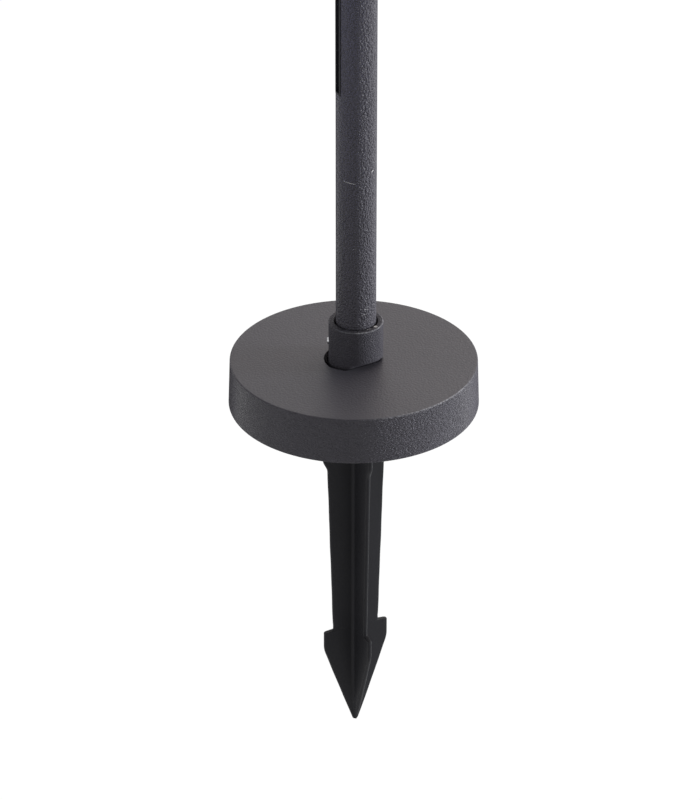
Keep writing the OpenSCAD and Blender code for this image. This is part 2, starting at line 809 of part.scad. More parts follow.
module cap_screw() {
    color(steel) rotate(post_turn) translate([0, 0, lamp_h])
        countersunk_screw(cap_screw_d / 2, cap_screw_d, cap_screw_d / 2, cap_screw_l);
}

module sink_screws() {
    color(steel) rotate(post_turn) for (z = [sink_screw_low, sink_screw_high])
        translate([0, post_r, z]) rotate([-90, 0, 0])
            countersunk_screw(small_r, small_head_r, small_head_t, post_r - seat_y);
}

ground_spike();
spike_insert();
cable_grommet();
post_socket();
clamp_screw();
threaded_nipple();
nipple_nut();
lock_washer();
base_disc();
post_tube();
foot_bush();
terminal_block();
terminal_screws();
driver_sleeve();
driver_board();
driver_parts();
driver_leads();
led_leads();
heat_sink();
led_board();
led_chips();
board_screws();
slot_housing();
slot_gasket();
diffuser();
top_cap();
cap_seal();
cap_screw();
sink_screws();
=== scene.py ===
import json
import math
from types import SimpleNamespace

import bmesh
import bpy
import numpy as np
from mathutils import Matrix, Vector


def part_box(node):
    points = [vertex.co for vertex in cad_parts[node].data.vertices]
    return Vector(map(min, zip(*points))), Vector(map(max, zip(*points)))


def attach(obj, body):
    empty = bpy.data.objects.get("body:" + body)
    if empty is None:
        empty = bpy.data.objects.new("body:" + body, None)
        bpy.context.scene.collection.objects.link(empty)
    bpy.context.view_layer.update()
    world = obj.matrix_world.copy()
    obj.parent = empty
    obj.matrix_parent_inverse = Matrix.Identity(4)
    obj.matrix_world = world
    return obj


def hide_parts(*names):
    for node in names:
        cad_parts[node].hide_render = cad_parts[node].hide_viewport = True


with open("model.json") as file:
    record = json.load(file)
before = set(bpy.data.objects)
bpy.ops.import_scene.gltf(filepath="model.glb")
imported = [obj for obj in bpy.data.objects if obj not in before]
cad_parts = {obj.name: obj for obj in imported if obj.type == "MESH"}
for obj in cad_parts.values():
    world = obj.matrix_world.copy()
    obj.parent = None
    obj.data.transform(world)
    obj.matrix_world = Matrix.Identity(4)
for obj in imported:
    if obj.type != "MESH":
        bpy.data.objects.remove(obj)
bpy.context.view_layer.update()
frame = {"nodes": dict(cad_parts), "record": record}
mm = 0.001
fullTurn = 2 * math.pi


# Boxes that the pieces take their sizes from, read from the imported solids
def boxOf(node):
    low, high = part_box(node)
    return SimpleNamespace(low=low, high=high, middle=(low + high) / 2, half=(high - low) / 2)


tubeBox = boxOf("post_tube")
discBox = boxOf("base_disc")
socketBox = boxOf("post_socket")
spikeBox = boxOf("ground_spike")
capBox = boxOf("top_cap")
postRadius = tubeBox.half.x


# Profiles and outlines
def filletPath(corners, steps=5, closed=True):
    # each corner is x, y and the radius that rounds it, and a radius of 0 leaves it sharp
    longest = 0.49  # share of an edge that the rounding of one corner may take
    points = []
    for i, (x, y, radius) in enumerate(corners):
        here = Vector((x, y))
        if radius <= 0 or (not closed and i in (0, len(corners) - 1)):
            points.append((x, y))
            continue
        back = Vector(corners[i - 1][:2]) - here
        ahead = Vector(corners[(i + 1) % len(corners)][:2]) - here
        half = back.angle(ahead) / 2
        reach = min(radius / math.tan(half), back.length * longest, ahead.length * longest)
        back.normalize()
        ahead.normalize()
        centre = here + (back + ahead).normalized() * reach / math.cos(half)
        first, last = here + back * reach - centre, here + ahead * reach - centre
        sweep = first.angle(last)
        for k in range(steps + 1):
            t = k / steps
            bend = first * math.sin((1 - t) * sweep) + last * math.sin(t * sweep)
            point = centre + bend / math.sin(sweep)
            points.append((point.x, point.y))
    return points


def evenAngles(count, start=0.0):
    return [start + fullTurn * i / count for i in range(count)]


def ring(radius, z, angles, centre=(0, 0)):
    # radius and z are numbers or functions of the direction
    points = []
    for a in angles:
        r = radius(a) if callable(radius) else radius
        height = z(a) if callable(z) else z
        points.append((centre[0] + r * math.cos(a), centre[1] + r * math.sin(a), height))
    return points


def heading(turn, z=0.0, reach=1.0):
    # a point at a direction about the post's axis
    return (reach * math.cos(turn), reach * math.sin(turn), z)


# Meshes
def skin(rings, closed=False, caps=True):
    # a mesh through rings of equal length, closed on itself or capped at both ends
    smallest = 1e-7
    bm = bmesh.new()
    rows = [[bm.verts.new(p) for p in points] for points in rings]
    following = rows[1:] + rows[:1] if closed else rows[1:]
    for low, high in zip(rows, following):
        for i in range(len(low)):
            j = (i + 1) % len(low)
            bm.faces.new((low[i], low[j], high[j], high[i]))
    if caps and not closed:
        bm.faces.new(rows[0][::-1])
        bm.faces.new(rows[-1])
    bmesh.ops.remove_doubles(bm, verts=bm.verts, dist=smallest)
    bmesh.ops.dissolve_degenerate(bm, edges=bm.edges, dist=smallest)
    bmesh.ops.recalc_face_normals(bm, faces=bm.faces)
    return bm


def lathe(profile, count):
    angles = evenAngles(count)
    return skin([ring(max(r, 0), z, angles) for r, z in profile], closed=True)


def prism(outline, low, high):
    # straight along Z between two levels
    return skin([[(x, y, low) for x, y in outline], [(x, y, high) for x, y in outline]])


def join(first, *others):
    for other in others:
        spare = bpy.data.meshes.new("spare")
        other.to_mesh(spare)
        first.from_mesh(spare)
        bpy.data.meshes.remove(spare)
        other.free()
    return first


def place(bm, matrix):
    bmesh.ops.transform(bm, matrix=matrix, verts=bm.verts)
    return bm


def along(axis, origin):
    # turns +Z onto an axis and moves its foot to the origin
    turned = Vector((0, 0, 1)).rotation_difference(Vector(axis)).to_matrix().to_4x4()
    return Matrix.Translation(Vector(origin)) @ turned


def soften(bm, width, steps=2, limit=35):
    # rounds every edge that turns more than the limit, in degrees
    edges = [e for e in bm.edges if len(e.link_faces) == 2 and e.calc_face_angle() > math.radians(limit)]
    bmesh.ops.bevel(bm, geom=edges, offset=width, offset_type="OFFSET", segments=steps,
                    profile=0.5, affect="EDGES", clamp_overlap=True)
    return bm


def cut(bm, *cutters, operation="DIFFERENCE"):
    mergeWithin, smallest = 2e-6, 1e-6
    base = meshObject("cutBase", bm)
    for cutter in cutters:
        tool = meshObject("cutTool", cutter)
        change = base.modifiers.new("cut", "BOOLEAN")
        change.operation = operation
        change.solver = "EXACT"
        change.object = tool
        bpy.context.view_layer.update()
        result = bpy.data.meshes.new_from_object(base.evaluated_get(bpy.context.evaluated_depsgraph_get()))
        base.modifiers.remove(change)
        base.data = result
        bpy.data.objects.remove(tool)
    result = bmesh.new()
    result.from_mesh(base.data)
    bpy.data.objects.remove(base)
    bmesh.ops.remove_doubles(result, verts=result.verts, dist=mergeWithin)
    bmesh.ops.dissolve_degenerate(result, edges=result.edges, dist=smallest)
    return result


def meshObject(name, bm):
    mesh = bpy.data.meshes.new(name)
    bm.to_mesh(mesh)
    bm.free()
    obj = bpy.data.objects.new(name, mesh)
    bpy.context.scene.collection.objects.link(obj)
    return obj


def finishPiece(name, bm, material, node, smooth=32):
    # a finished piece stands for its node and rides on that node's body
    obj = meshObject(name, bm)
    obj.data.materials.append(material)
    obj.data.shade_smooth()
    obj.data.set_sharp_from_angle(angle=math.radians(smooth))
    normals = obj.modifiers.new("flatFacesFirst", "WEIGHTED_NORMAL")
    normals.keep_sharp = True
    bodies = frame["record"]["behaviour"]["bodies"]
    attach(obj, next(body for body, nodes in bodies.items() if node in nodes))
    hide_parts(node)
    return obj


slotOf = {part["node"]: part["material_slot"] for part in frame["record"]["subparts"]}


# Node trees
noiseSpan = (0.3, 0.7)  # most of a noise texture's values lie between these


def addNode(tree, kind, links=None, **settings):
    node = tree.nodes.new("ShaderNode" + kind)
    for name, value in settings.items():
        setattr(node, name, value)
    for socket, value in (links or {}).items():
        if isinstance(value, bpy.types.NodeSocket):
            tree.links.new(value, node.inputs[socket])
        else:
            node.inputs[socket].default_value = value
    return node


def calc(tree, operation, first, second):
    return addNode(tree, "Math", {0: first, 1: second}, operation=operation).outputs[0]


def calcVector(tree, operation, first, second=(0, 0, 0)):
    result = "Value" if operation in ("LENGTH", "DOT_PRODUCT") else "Vector"
    return addNode(tree, "VectorMath", {0: first, 1: second}, operation=operation).outputs[result]


def newMaterial(name, colour, roughness, metallic=0.0, specular=0.5):
    material = bpy.data.materials.new(name)
    material.use_nodes = True
    tree = material.node_tree
    shader = tree.nodes["Principled BSDF"]
    shader.inputs["Base Color"].default_value = (*colour, 1)
    shader.inputs["Roughness"].default_value = roughness
    shader.inputs["Metallic"].default_value = metallic
    shader.inputs["Specular IOR Level"].default_value = specular
    point = addNode(tree, "TexCoord").outputs["Object"]
    return material, tree, shader, point


def grain(tree, point, size, detail=2.0, rough=0.5, stretch=(1, 1, 1)):
    # noise whose lumps are about as large as size, in metres
    scaled = addNode(tree, "Mapping", {"Vector": point, "Scale": stretch}).outputs["Vector"]
    links = {"Vector": scaled, "Scale": 0.5 / size, "Detail": detail, "Roughness": rough}
    return addNode(tree, "TexNoise", links).outputs["Fac"]


def remap(tree, value, low, high, newLow, newHigh, smooth=False):
    kind = "SMOOTHSTEP" if smooth else "LINEAR"
    links = {"Value": value, "From Min": low, "From Max": high, "To Min": newLow, "To Max": newHigh}
    return addNode(tree, "MapRange", links, interpolation_type=kind).outputs["Result"]


def blendColour(tree, factor, first, second):
    firstSocket, secondSocket, result = 6, 7, 2  # a mix node's places for colours
    links = {"Factor": factor}
    for socket, value in ((firstSocket, first), (secondSocket, second)):
        links[socket] = value if isinstance(value, bpy.types.NodeSocket) else (*value, 1)
    return addNode(tree, "Mix", links, data_type="RGBA").outputs[result]


def blendTones(tree, value, colour, dark, light):
    # a noise that moves a colour between a darker and a lighter shade of it
    return blendColour(tree, remap(tree, value, *noiseSpan, 0, 1), shade(colour, dark), shade(colour, light))


def bump(tree, height, depth, strength=1.0, under=None):
    links = {"Height": height, "Distance": depth, "Strength": strength}
    if under is not None:
        links["Normal"] = under
    return addNode(tree, "Bump", links).outputs["Normal"]


def shade(colour, factor):
    return tuple(min(1, c * factor) for c in colour)


# Sprayed and baked powder: fine pebbles, a slow drift of colour, and painted highlights along round edges
powder = {
    "colour": (0.106, 0.102, 0.120),
    "mottle": (0.97, 1.03),
    "drift": 24 * mm,
    "driftSpan": (0.35, 0.65),
    "driftShare": 0.5,
    "driftTone": 0.9,
    "depth": 1.0 * mm,
    "cellShare": 0.75,
    "fineShare": 0.8,
    "peel": 3.2 * mm,
    "peelDepth": 0.03 * mm,
    "roughness": 0.24,
    "roughnessSpan": (0.25, 0.75),
    "roughnessSpread": (-0.05, 0.08),
    "levelFrom": (0.5, 0.95),
    "levelRoughness": 0.42,
    "dullFrom": (0.61, 0.88),
    "dullRoughness": 0.9,
    "specular": 0.08,
    "levelSpecular": 0.23,
    "highlightColour": (0.42, 0.42, 0.45),
    "highlightCore": 0.3,
    "highlightGrain": 1.1 * mm,
    "highlightSpan": (0.4, 0.6),
    "highlightFaintest": 0.35,
    "markGrain": 0.9 * mm,
    "markEdge": (1.15, 1.6),
}


def powderCoat(name, tone=1.0, pebble=0.8 * mm, depth=1.0, flat=1.0, gloss=1.0, level=1.0,
               marks=(), edgeHighlights=()):
    # tone scales the colour, depth and flat the bumps and their squeeze along Z, gloss the specular level,
    # and level the bumps on faces that lie level, where powder runs smooth
    p = powder
    colour = shade(p["colour"], tone)
    material, tree, shader, point = newMaterial(name, colour, p["roughness"], specular=p["specular"] * gloss)
    squeezed = addNode(tree, "Mapping", {"Vector": point, "Scale": (1, 1, flat)}).outputs["Vector"]
    cellLinks = {"Vector": squeezed, "Scale": p["cellShare"] / pebble, "Smoothness": 0.5}
    cells = addNode(tree, "TexVoronoi", cellLinks, feature="SMOOTH_F1").outputs["Distance"]
    fine = grain(tree, squeezed, pebble * p["fineShare"], detail=3, rough=0.55)
    peel = bump(tree, grain(tree, point, p["peel"], detail=1), p["peelDepth"] * depth)
    upward = calcVector(tree, "DOT_PRODUCT", addNode(tree, "TexCoord").outputs["Normal"], (0, 0, 1))
    strength = remap(tree, upward, *p["levelFrom"], 1, level)
    pebbles = calc(tree, "SUBTRACT", fine, cells)
    lumps = bump(tree, pebbles, p["depth"] * depth * pebble / mm, strength, under=peel)
    tree.links.new(lumps, shader.inputs["Normal"])

    # a coat seen at a shallow angle looks dull, so no lamp mirrors in it there
    rough = remap(tree, upward, *p["levelFrom"], p["roughness"], p["levelRoughness"])
    edgeOn = addNode(tree, "LayerWeight", {"Blend": 0.5}).outputs["Facing"]
    shallow = remap(tree, edgeOn, *p["dullFrom"], 0, 1)
    rough = addNode(tree, "Mix", {"Factor": shallow, "A": rough, "B": p["dullRoughness"]}).outputs[0]
    uneven = remap(tree, fine, *p["roughnessSpan"], *p["roughnessSpread"])
    tree.links.new(calc(tree, "ADD", rough, uneven), shader.inputs["Roughness"])

    drift = remap(tree, grain(tree, point, p["drift"], detail=2), *p["driftSpan"], 0, p["driftShare"])
    mottled = blendTones(tree, fine, colour, *p["mottle"])
    wornAndHighlit = blendColour(tree, drift, mottled, shade(colour, p["driftTone"]))
    for mark in marks:
        wornAndHighlit = shortMark(tree, point, wornAndHighlit, *mark)
    # painted highlights along the round edges go on top of the colour
    for edgeHighlight in edgeHighlights:
        wornAndHighlit = paintedEdgeHighlight(tree, point, wornAndHighlit, *edgeHighlight)
    tree.links.new(wornAndHighlit, shader.inputs["Base Color"])
    return material


def paintedEdgeHighlight(tree, point, under, radius, height, centre, width, direction, spread, strength):
    # painted highlight along a round edge, strongest on the side where the right key lamp mirrors towards the
    # camera, broken up by noise
    p = powder
    local = calcVector(tree, "SUBTRACT", point, (*centre, height))
    parts = addNode(tree, "SeparateXYZ", {"Vector": local}).outputs
    flat = addNode(tree, "CombineXYZ", {"X": parts["X"], "Y": parts["Y"]}).outputs[0]
    off = calc(tree, "SUBTRACT", calcVector(tree, "LENGTH", flat), radius)
    gap = addNode(tree, "CombineXYZ", {"X": off, "Y": parts["Z"]}).outputs[0]
    line = remap(tree, calcVector(tree, "LENGTH", gap), width * p["highlightCore"], width, 1, 0, smooth=True)
    facing = calcVector(tree, "DOT_PRODUCT", flat, heading(math.radians(direction), reach=1 / radius))
    side = remap(tree, facing, math.cos(math.radians(spread)), 1, 0, strength, smooth=True)
    broken = remap(tree, grain(tree, point, p["highlightGrain"], detail=3), *p["highlightSpan"], p["highlightFaintest"], 1)
    mask = calc(tree, "MULTIPLY", calc(tree, "MULTIPLY", line, side), broken)
    return blendColour(tree, mask, under, p["highlightColour"])


def shortMark(tree, point, under, centre, size, tilt, strength, colour):
    # a short mark, its middle given by a direction in degrees, a height and a distance from the axis
    direction, height, reach = centre
    length, width, depth = size
    turn = math.radians(direction)
    turned = addNode(tree, "Mapping", {
        "Vector": point, "Location": heading(turn, height, reach), "Rotation": (math.radians(tilt), 0, turn),
        "Scale": (depth, length / 2, width / 2)}, vector_type="TEXTURE").outputs["Vector"]
    wobble = grain(tree, point, powder["markGrain"], detail=1)
    away = calc(tree, "ADD", calcVector(tree, "LENGTH", turned), wobble)
    mask = remap(tree, away, *powder["markEdge"], strength, 0, smooth=True)
    return blendColour(tree, mask, under, colour)


# Mould grain, turning marks and the inner glow of the other finishes
moulding = {"flowSize": 9 * mm, "flowStretch": (1, 1, 0.25), "tones": (0.85, 1.18), "spread": (-0.06, 0.08)}
turning = {"size": 0.25 * mm, "depth": 0.006 * mm, "drift": 5 * mm, "tones": (0.86, 1.08),
           "spread": (-0.06, 0.12)}
milk = {"scatter": (1.0, 0.9, 0.8), "scatterDepth": 0.8 * mm, "cloud": 6 * mm, "tones": (0.95, 1.02),
        "grain": 0.3 * mm, "grainDepth": 0.008 * mm}


def mouldedPlastic(name, colour, roughness, grainSize, depth, specular=0.4, flow=0.0):
    # fine mould grain over slow flow marks along Z, flow being their depth
    m = moulding
    material, tree, shader, point = newMaterial(name, colour, roughness, specular=specular)
    fine = grain(tree, point, grainSize, detail=3, rough=0.6)
    slow = grain(tree, point, m["flowSize"], detail=2, stretch=m["flowStretch"])
    tree.links.new(bump(tree, fine, depth, under=bump(tree, slow, flow)), shader.inputs["Normal"])
    tree.links.new(blendTones(tree, slow, colour, *m["tones"]), shader.inputs["Base Color"])
    uneven = remap(tree, fine, *noiseSpan, *(roughness + change for change in m["spread"]))
    tree.links.new(uneven, shader.inputs["Roughness"])
    return material


def machinedMetal(name, colour, roughness, stretch=(1, 1, 14)):
    # fine turning or drawing marks, squeezed along the axis that stretch names
    t = turning
    material, tree, shader, point = newMaterial(name, colour, roughness, metallic=1.0)
    lines = grain(tree, point, t["size"], detail=3, rough=0.65, stretch=stretch)
    drift = grain(tree, point, t["drift"], detail=2)
    tree.links.new(bump(tree, lines, t["depth"]), shader.inputs["Normal"])
    tree.links.new(blendTones(tree, drift, colour, *t["tones"]), shader.inputs["Base Color"])
    uneven = remap(tree, lines, *noiseSpan, *(roughness + change for change in t["spread"]))
    tree.links.new(uneven, shader.inputs["Roughness"])
    return material


def milkyPlastic(name, colour, roughness, inner):
    # light goes into it and comes out close by, inner being the share that does
    material, tree, shader, point = newMaterial(name, colour, roughness)
    shader.inputs["Subsurface Weight"].default_value = inner
    shader.inputs["Subsurface Radius"].default_value = milk["scatter"]
    shader.inputs["Subsurface Scale"].default_value = milk["scatterDepth"]
    slow = grain(tree, point, milk["cloud"], detail=2)
    fine = grain(tree, point, milk["grain"], detail=2)
    tree.links.new(blendTones(tree, slow, colour, *milk["tones"]), shader.inputs["Base Color"])
    tree.links.new(bump(tree, fine, milk["grainDepth"]), shader.inputs["Normal"])
    return material


# Marks that the photograph shows: direction, height and distance from the axis, then length, width and depth,
# tilt, strength and colour, with those on the post listed in millimetres
paleScratchAndGlint, chipDark, paleChipGlint = (0.7, 0.69, 0.7), (0.01, 0.01, 0.012), (0.9, 0.9, 0.9)
markDepth = 2 * mm
postMarks = [((turn, z * mm, postRadius), (length * mm, width * mm, markDepth), tilt, strength, colour)
             for turn, z, length, width, tilt, strength, colour in (
                 (-45, 127.0, 7.6, 0.38, -7, 0.9, paleScratchAndGlint),
                 (23.5, 132.9, 1.3, 0.8, 0, 0.9, chipDark),
                 (27.5, 131.9, 2.0, 0.9, 35, 1.0, paleScratchAndGlint),
                 (48, 135.5, 1.2, 0.6, 60, 0.8, paleScratchAndGlint),
                 (0, 54.0, 4.4, 0.36, 12, 0.5, paleScratchAndGlint),
                 (5, 56.6, 2.4, 0.34, -25, 0.4, paleScratchAndGlint),
                 (10, 57.8, 1.6, 0.34, 30, 0.35, paleScratchAndGlint),
                 (-31, 90.8, 2.4, 0.3, 5, 0.4, paleScratchAndGlint),
                 (-104, 155, 1.0, 1.3, 0, 0.7, chipDark))]
# on the socket, a worn chip painted white as its glint shows, and a painted highlight along the mouth's inner
# edge
socketChipAndGlint = [
    ((31, socketBox.high.z, 11.6 * mm), (2.0 * mm, 1.6 * mm, 1.0 * mm), 0, 1.0, paleChipGlint),
    ((9, socketBox.high.z, 11.25 * mm), (3.0 * mm, 1.6 * mm, 0.5 * mm), 0, 0.75, paleScratchAndGlint),
]

# Painted highlights on round edges, strongest where the right key lamp mirrors towards the camera: radius,
# height, centre and width, then direction and spread in degrees, and strength
discCentre = (discBox.middle.x, discBox.middle.y)
discEdgeHighlight = (62.3 * mm, discBox.high.z - 0.25 * mm, discCentre, 0.6 * mm, 15, 38, 0.7)
socketEdgeHighlight = (socketBox.half.x - 0.2 * mm, socketBox.high.z - 0.2 * mm, (0, 0), 0.5 * mm, 15, 110, 0.6)
discLook = {"pebble": 0.85 * mm, "depth": 0.85, "flat": 2.4, "level": 0.14, "edgeHighlights": [discEdgeHighlight]}

finishes = {
    "post_coat": powderCoat("postCoat", marks=postMarks),
    # the socket wears the post's paint, toned darker to paint in the shade that falls on it beside the disc
    "socketCoat": powderCoat("socketCoat", 0.79, 0.48 * mm, 0.8, gloss=0.8, marks=socketChipAndGlint,
                             edgeHighlights=[socketEdgeHighlight]),
    "disc_coat": powderCoat("discCoat", 1.07, gloss=1.2, **discLook),
    "discTop": powderCoat("discTop", gloss=powder["levelSpecular"] / powder["specular"], **discLook),
    "spike_plastic": mouldedPlastic("spikePlastic", (0.015, 0.015, 0.018), 0.5, 0.6 * mm, 0.03 * mm,
                                    specular=0.17, flow=0.25 * mm),
    "housing_plastic": mouldedPlastic("housingPlastic", (0.012, 0.012, 0.0145), 0.5, 0.25 * mm, 0.01 * mm,
                                      specular=0.2),
    "steel": machinedMetal("plainSteel", (0.5, 0.5, 0.52), 0.3),
    "darkSteel": machinedMetal("darkSteel", (0.17, 0.17, 0.18), 0.36),
    "brass": machinedMetal("turnedBrass", (0.78, 0.57, 0.26), 0.3),
    "rubber": mouldedPlastic("softRubber", (0.02, 0.02, 0.022), 0.66, 0.2 * mm, 0.01 * mm, 0.3),
    "opal": milkyPlastic("opalDiffuser", (0.88, 0.88, 0.85), 0.38, 0.4),
    "aluminium": machinedMetal("extrudedAluminium", (0.76, 0.77, 0.79), 0.36, stretch=(14, 14, 0.4)),
    "white_mask": mouldedPlastic("whiteMask", (0.8, 0.82, 0.83), 0.42, 0.2 * mm, 0.004 * mm),
    "phosphor": milkyPlastic("phosphorYellow", (0.9, 0.72, 0.2), 0.45, 0.2),
    "green_board": mouldedPlastic("greenBoard", (0.02, 0.12, 0.05), 0.35, 0.3 * mm, 0.006 * mm),
    "component": mouldedPlastic("componentBody", (0.03, 0.03, 0.035), 0.42, 0.2 * mm, 0.006 * mm),
    "sleeve_plastic": milkyPlastic("sleeveSheet", (0.78, 0.8, 0.76), 0.4, 0.25),
    "terminal_plastic": milkyPlastic("terminalBody", (0.82, 0.82, 0.78), 0.42, 0.2),
    "lead_red": mouldedPlastic("leadRed", (0.35, 0.02, 0.015), 0.35, 0.3 * mm, 0.004 * mm),
    "lead_black": mouldedPlastic("leadBlack", (0.02, 0.02, 0.024), 0.35, 0.3 * mm, 0.004 * mm),
}
print("finishes: made", len(finishes))

for name, obj in frame["nodes"].items():
    for slot in obj.material_slots:
        slot.material = finishes[slotOf[name]]


# Post tube: rolled steel with the light slot cut in its front, its edges rounded by the coat
tube = {
    "wall": 1.6 * mm,
    "slotWidth": 5.6 * mm,
    "slotLow": 172 * mm,
    "slotHigh": 372 * mm,
    "coatRound": 0.22 * mm,
    "slotColumns": 8,
    "roundColumns": 152,
    "firstRow": 8 * mm,
    "rowsBelow": 14,
    "slotRows": 24,
    "lastRow": 384 * mm,
    "screwHeights": (236 * mm, 360 * mm),
    "screwHead": 2.53 * mm,
    "screwShank": 1.28 * mm,
    "holeFrom": 2 * mm,
    "holeTo": -4 * mm,
}


def tubeAngles(radius):
    # columns that follow the slot's two sides at this radius, starting at the slot
    side = math.asin(tube["slotWidth"] / 2 / radius)
    front = -math.pi / 2
    slot = list(np.linspace(front - side, front + side, tube["slotColumns"] + 1))
    rest = list(np.linspace(front + side, front - side + fullTurn, tube["roundColumns"] + 1))
    return slot + rest[1:-1]


def postTube():
    t = tube
    gap = (t["slotHigh"] - t["slotLow"]) / t["slotRows"]
    levels = [tubeBox.low.z]
    levels += list(np.linspace(tubeBox.low.z + t["firstRow"], t["slotLow"], t["rowsBelow"]))
    levels += [t["slotLow"] + gap * i for i in range(1, t["slotRows"])]
    levels += [t["slotHigh"], t["lastRow"], tubeBox.high.z]
    bm = bmesh.new()
    walls = []
    for radius in (postRadius, postRadius - t["wall"]):
        walls.append([[bm.verts.new(p) for p in ring(radius, z, tubeAngles(radius))] for z in levels])
    count = len(walls[0][0])
    slotRows = range(levels.index(t["slotLow"]), levels.index(t["slotHigh"]))
    for rows in walls:
        for k in range(len(levels) - 1):
            for i in range(count):
                if k in slotRows and i < t["slotColumns"]:
                    continue
                j = (i + 1) % count
                bm.faces.new((rows[k][i], rows[k][j], rows[k + 1][j], rows[k + 1][i]))
    outer, inside = walls
    for k in (0, len(levels) - 1):
        for i in range(count):
            j = (i + 1) % count
            bm.faces.new((outer[k][i], outer[k][j], inside[k][j], inside[k][i]))
    for k in slotRows:
        for i in (0, t["slotColumns"]):
            bm.faces.new((outer[k][i], outer[k + 1][i], inside[k + 1][i], inside[k][i]))
    for k in (slotRows[0], slotRows[-1] + 1):
        for i in range(t["slotColumns"]):
            bm.faces.new((outer[k][i], outer[k][i + 1], inside[k][i + 1], inside[k][i]))
    bmesh.ops.recalc_face_normals(bm, faces=bm.faces)
    soften(bm, t["coatRound"], 3)
    cutters = []
    head, shank, start, end = t["screwHead"], t["screwShank"], t["holeFrom"], t["holeTo"]
    for z in t["screwHeights"]:
        profile = [(0, start), (head, start), (head, -head / 6), (shank, -head / 2), (shank, end), (0, end)]
        cutters.append(place(lathe(profile, count=40), along((0, 1, 0), (0, postRadius, z))))
    return finishPiece("postTube", cut(bm, *cutters), finishes["post_coat"], "post_tube")


postTube()
print("post: tube made")


# Screws, threads and other small turned parts
screwColumns = 36


def threadRows(radius, pitch, depth, low, high):
    # rings of a real thread whose ridge climbs one pitch each turn and runs out at both ends
    rowsPerTurn, fewest = 10, 8
    rows = []
    steps = max(fewest, int((high - low) / pitch * rowsPerTurn))
    for s in range(steps + 1):
        z = low + (high - low) * s / steps
        fade = min(1, (z - low) / pitch, (high - z) / pitch)

        def reach(angle, z=z, fade=fade):
            phase = ((z - low) / pitch - angle / fullTurn) % 1
            return radius - depth * (fade * abs(2 * phase - 1) + (1 - fade))

        rows.append(ring(reach, z, evenAngles(screwColumns)))
    return rows


def hexSocket(width, depth, top):
    # cutter for a key's recess, which stands proud of the head
    proud, corner = 1 * mm, width / math.sqrt(3)
    outline = [(corner * math.cos(a), corner * math.sin(a)) for a in evenAngles(6)]
    return prism(outline, top - depth, top + proud)


def headedScrew(head, headHeight, shank, length, pitch, depth, driveWidth):
    # countersunk, its head's top at z = 0 and its thread downwards, with shares of head and shank beside it
    rimShare, bandShare, threadStart, threadEnd, pointShare = 0.06, 0.25, 1.1, 0.6, 0.45
    angles = evenAngles(screwColumns)
    rimFall = head * rimShare
    rows = [ring(0, 0, angles), ring(head - rimFall, 0, angles), ring(head, -rimFall, angles)]
    rows += [ring(head, -headHeight * bandShare, angles), ring(shank - depth, -headHeight, angles)]
    rows += threadRows(shank, pitch, depth, -length + shank * threadEnd, -headHeight * threadStart)[::-1]
    rows += [ring(shank * pointShare, -length, angles), ring(0, -length, angles)]
    return cut(skin(rows, caps=False), hexSocket(driveWidth, headHeight, 0))


clampScrew = {
    "radius": 2 * mm,
    "pitch": 0.7 * mm,
    "threadDepth": 0.3 * mm,
    "hex": 2 * mm,
    "hexDepth": 2 * mm,
    "chamfer": 0.45 * mm,
    "endFall": 0.04 * mm,
    "turn": math.radians(-115),
    "inner": 10.15 * mm,
    "outer": 14.45 * mm,
    "height": 34.3 * mm,
    "holeRoom": 0.03 * mm,
    "holeFrom": 7 * mm,
    "holeTo": 16 * mm,
    "sinkDepth": 0.35 * mm,
    "sinkRise": 0.15 * mm,
    "sinkWidth": 0.5 * mm,
}


def makeClampScrew():
    c = clampScrew
    angles = evenAngles(screwColumns)
    radius, chamfer, inner, outer = c["radius"], c["chamfer"], c["inner"], c["outer"]
    root = radius - c["threadDepth"]
    rows = [ring(0, inner, angles), ring(root - chamfer / 2, inner, angles)]
    rows += threadRows(radius, c["pitch"], c["threadDepth"], inner + chamfer, outer - chamfer)
    rows += [ring(root - chamfer / 3, outer - c["endFall"], angles)]
    rows += [ring(root - chamfer / 2, outer, angles), ring(0, outer, angles)]
    bm = cut(skin(rows, caps=False), hexSocket(c["hex"], c["hexDepth"], outer))
    place(bm, along(heading(c["turn"]), (0, 0, c["height"])))
    return finishPiece("clampScrew", bm, finishes["steel"], "clamp_screw")


# Post socket: turned sleeve with a keyed neck, a shoulder that rises over the flat, and a relieved mouth
socket = {
    "keyFlat": 8.1 * mm,
    "keyHalf": 6.8 * mm,
    "keyCorner": 5 * mm,
    "keySweep": math.radians(60),
    "keyTurn": math.radians(5),
    "shoulderRise": 0.8 * mm,
    "bevel": math.radians(20),
    "bevelStart": 6.4 * mm,
    "topRound": 0.7 * mm,
    "mouthRadius": 10.95 * mm,
    "mouthDepth": 3.6 * mm,
    "mouthRound": 0.35 * mm,
    "mouthCone": 0.8 * mm,
    "coneRound": 0.1 * mm,
    "boreRadius": 10.16 * mm,
    "boreRound": 0.4 * mm,
    "depth": 15.4 * mm,
    "floorHole": 5.03 * mm,
    "holeRound": 0.25 * mm,
    "footWall": 4 * mm,
    "footChamfer": 0.3 * mm,
    "coatRound": 0.3 * mm,
    "sideRows": (33 * mm, 38 * mm),
    "columns": 360,
}


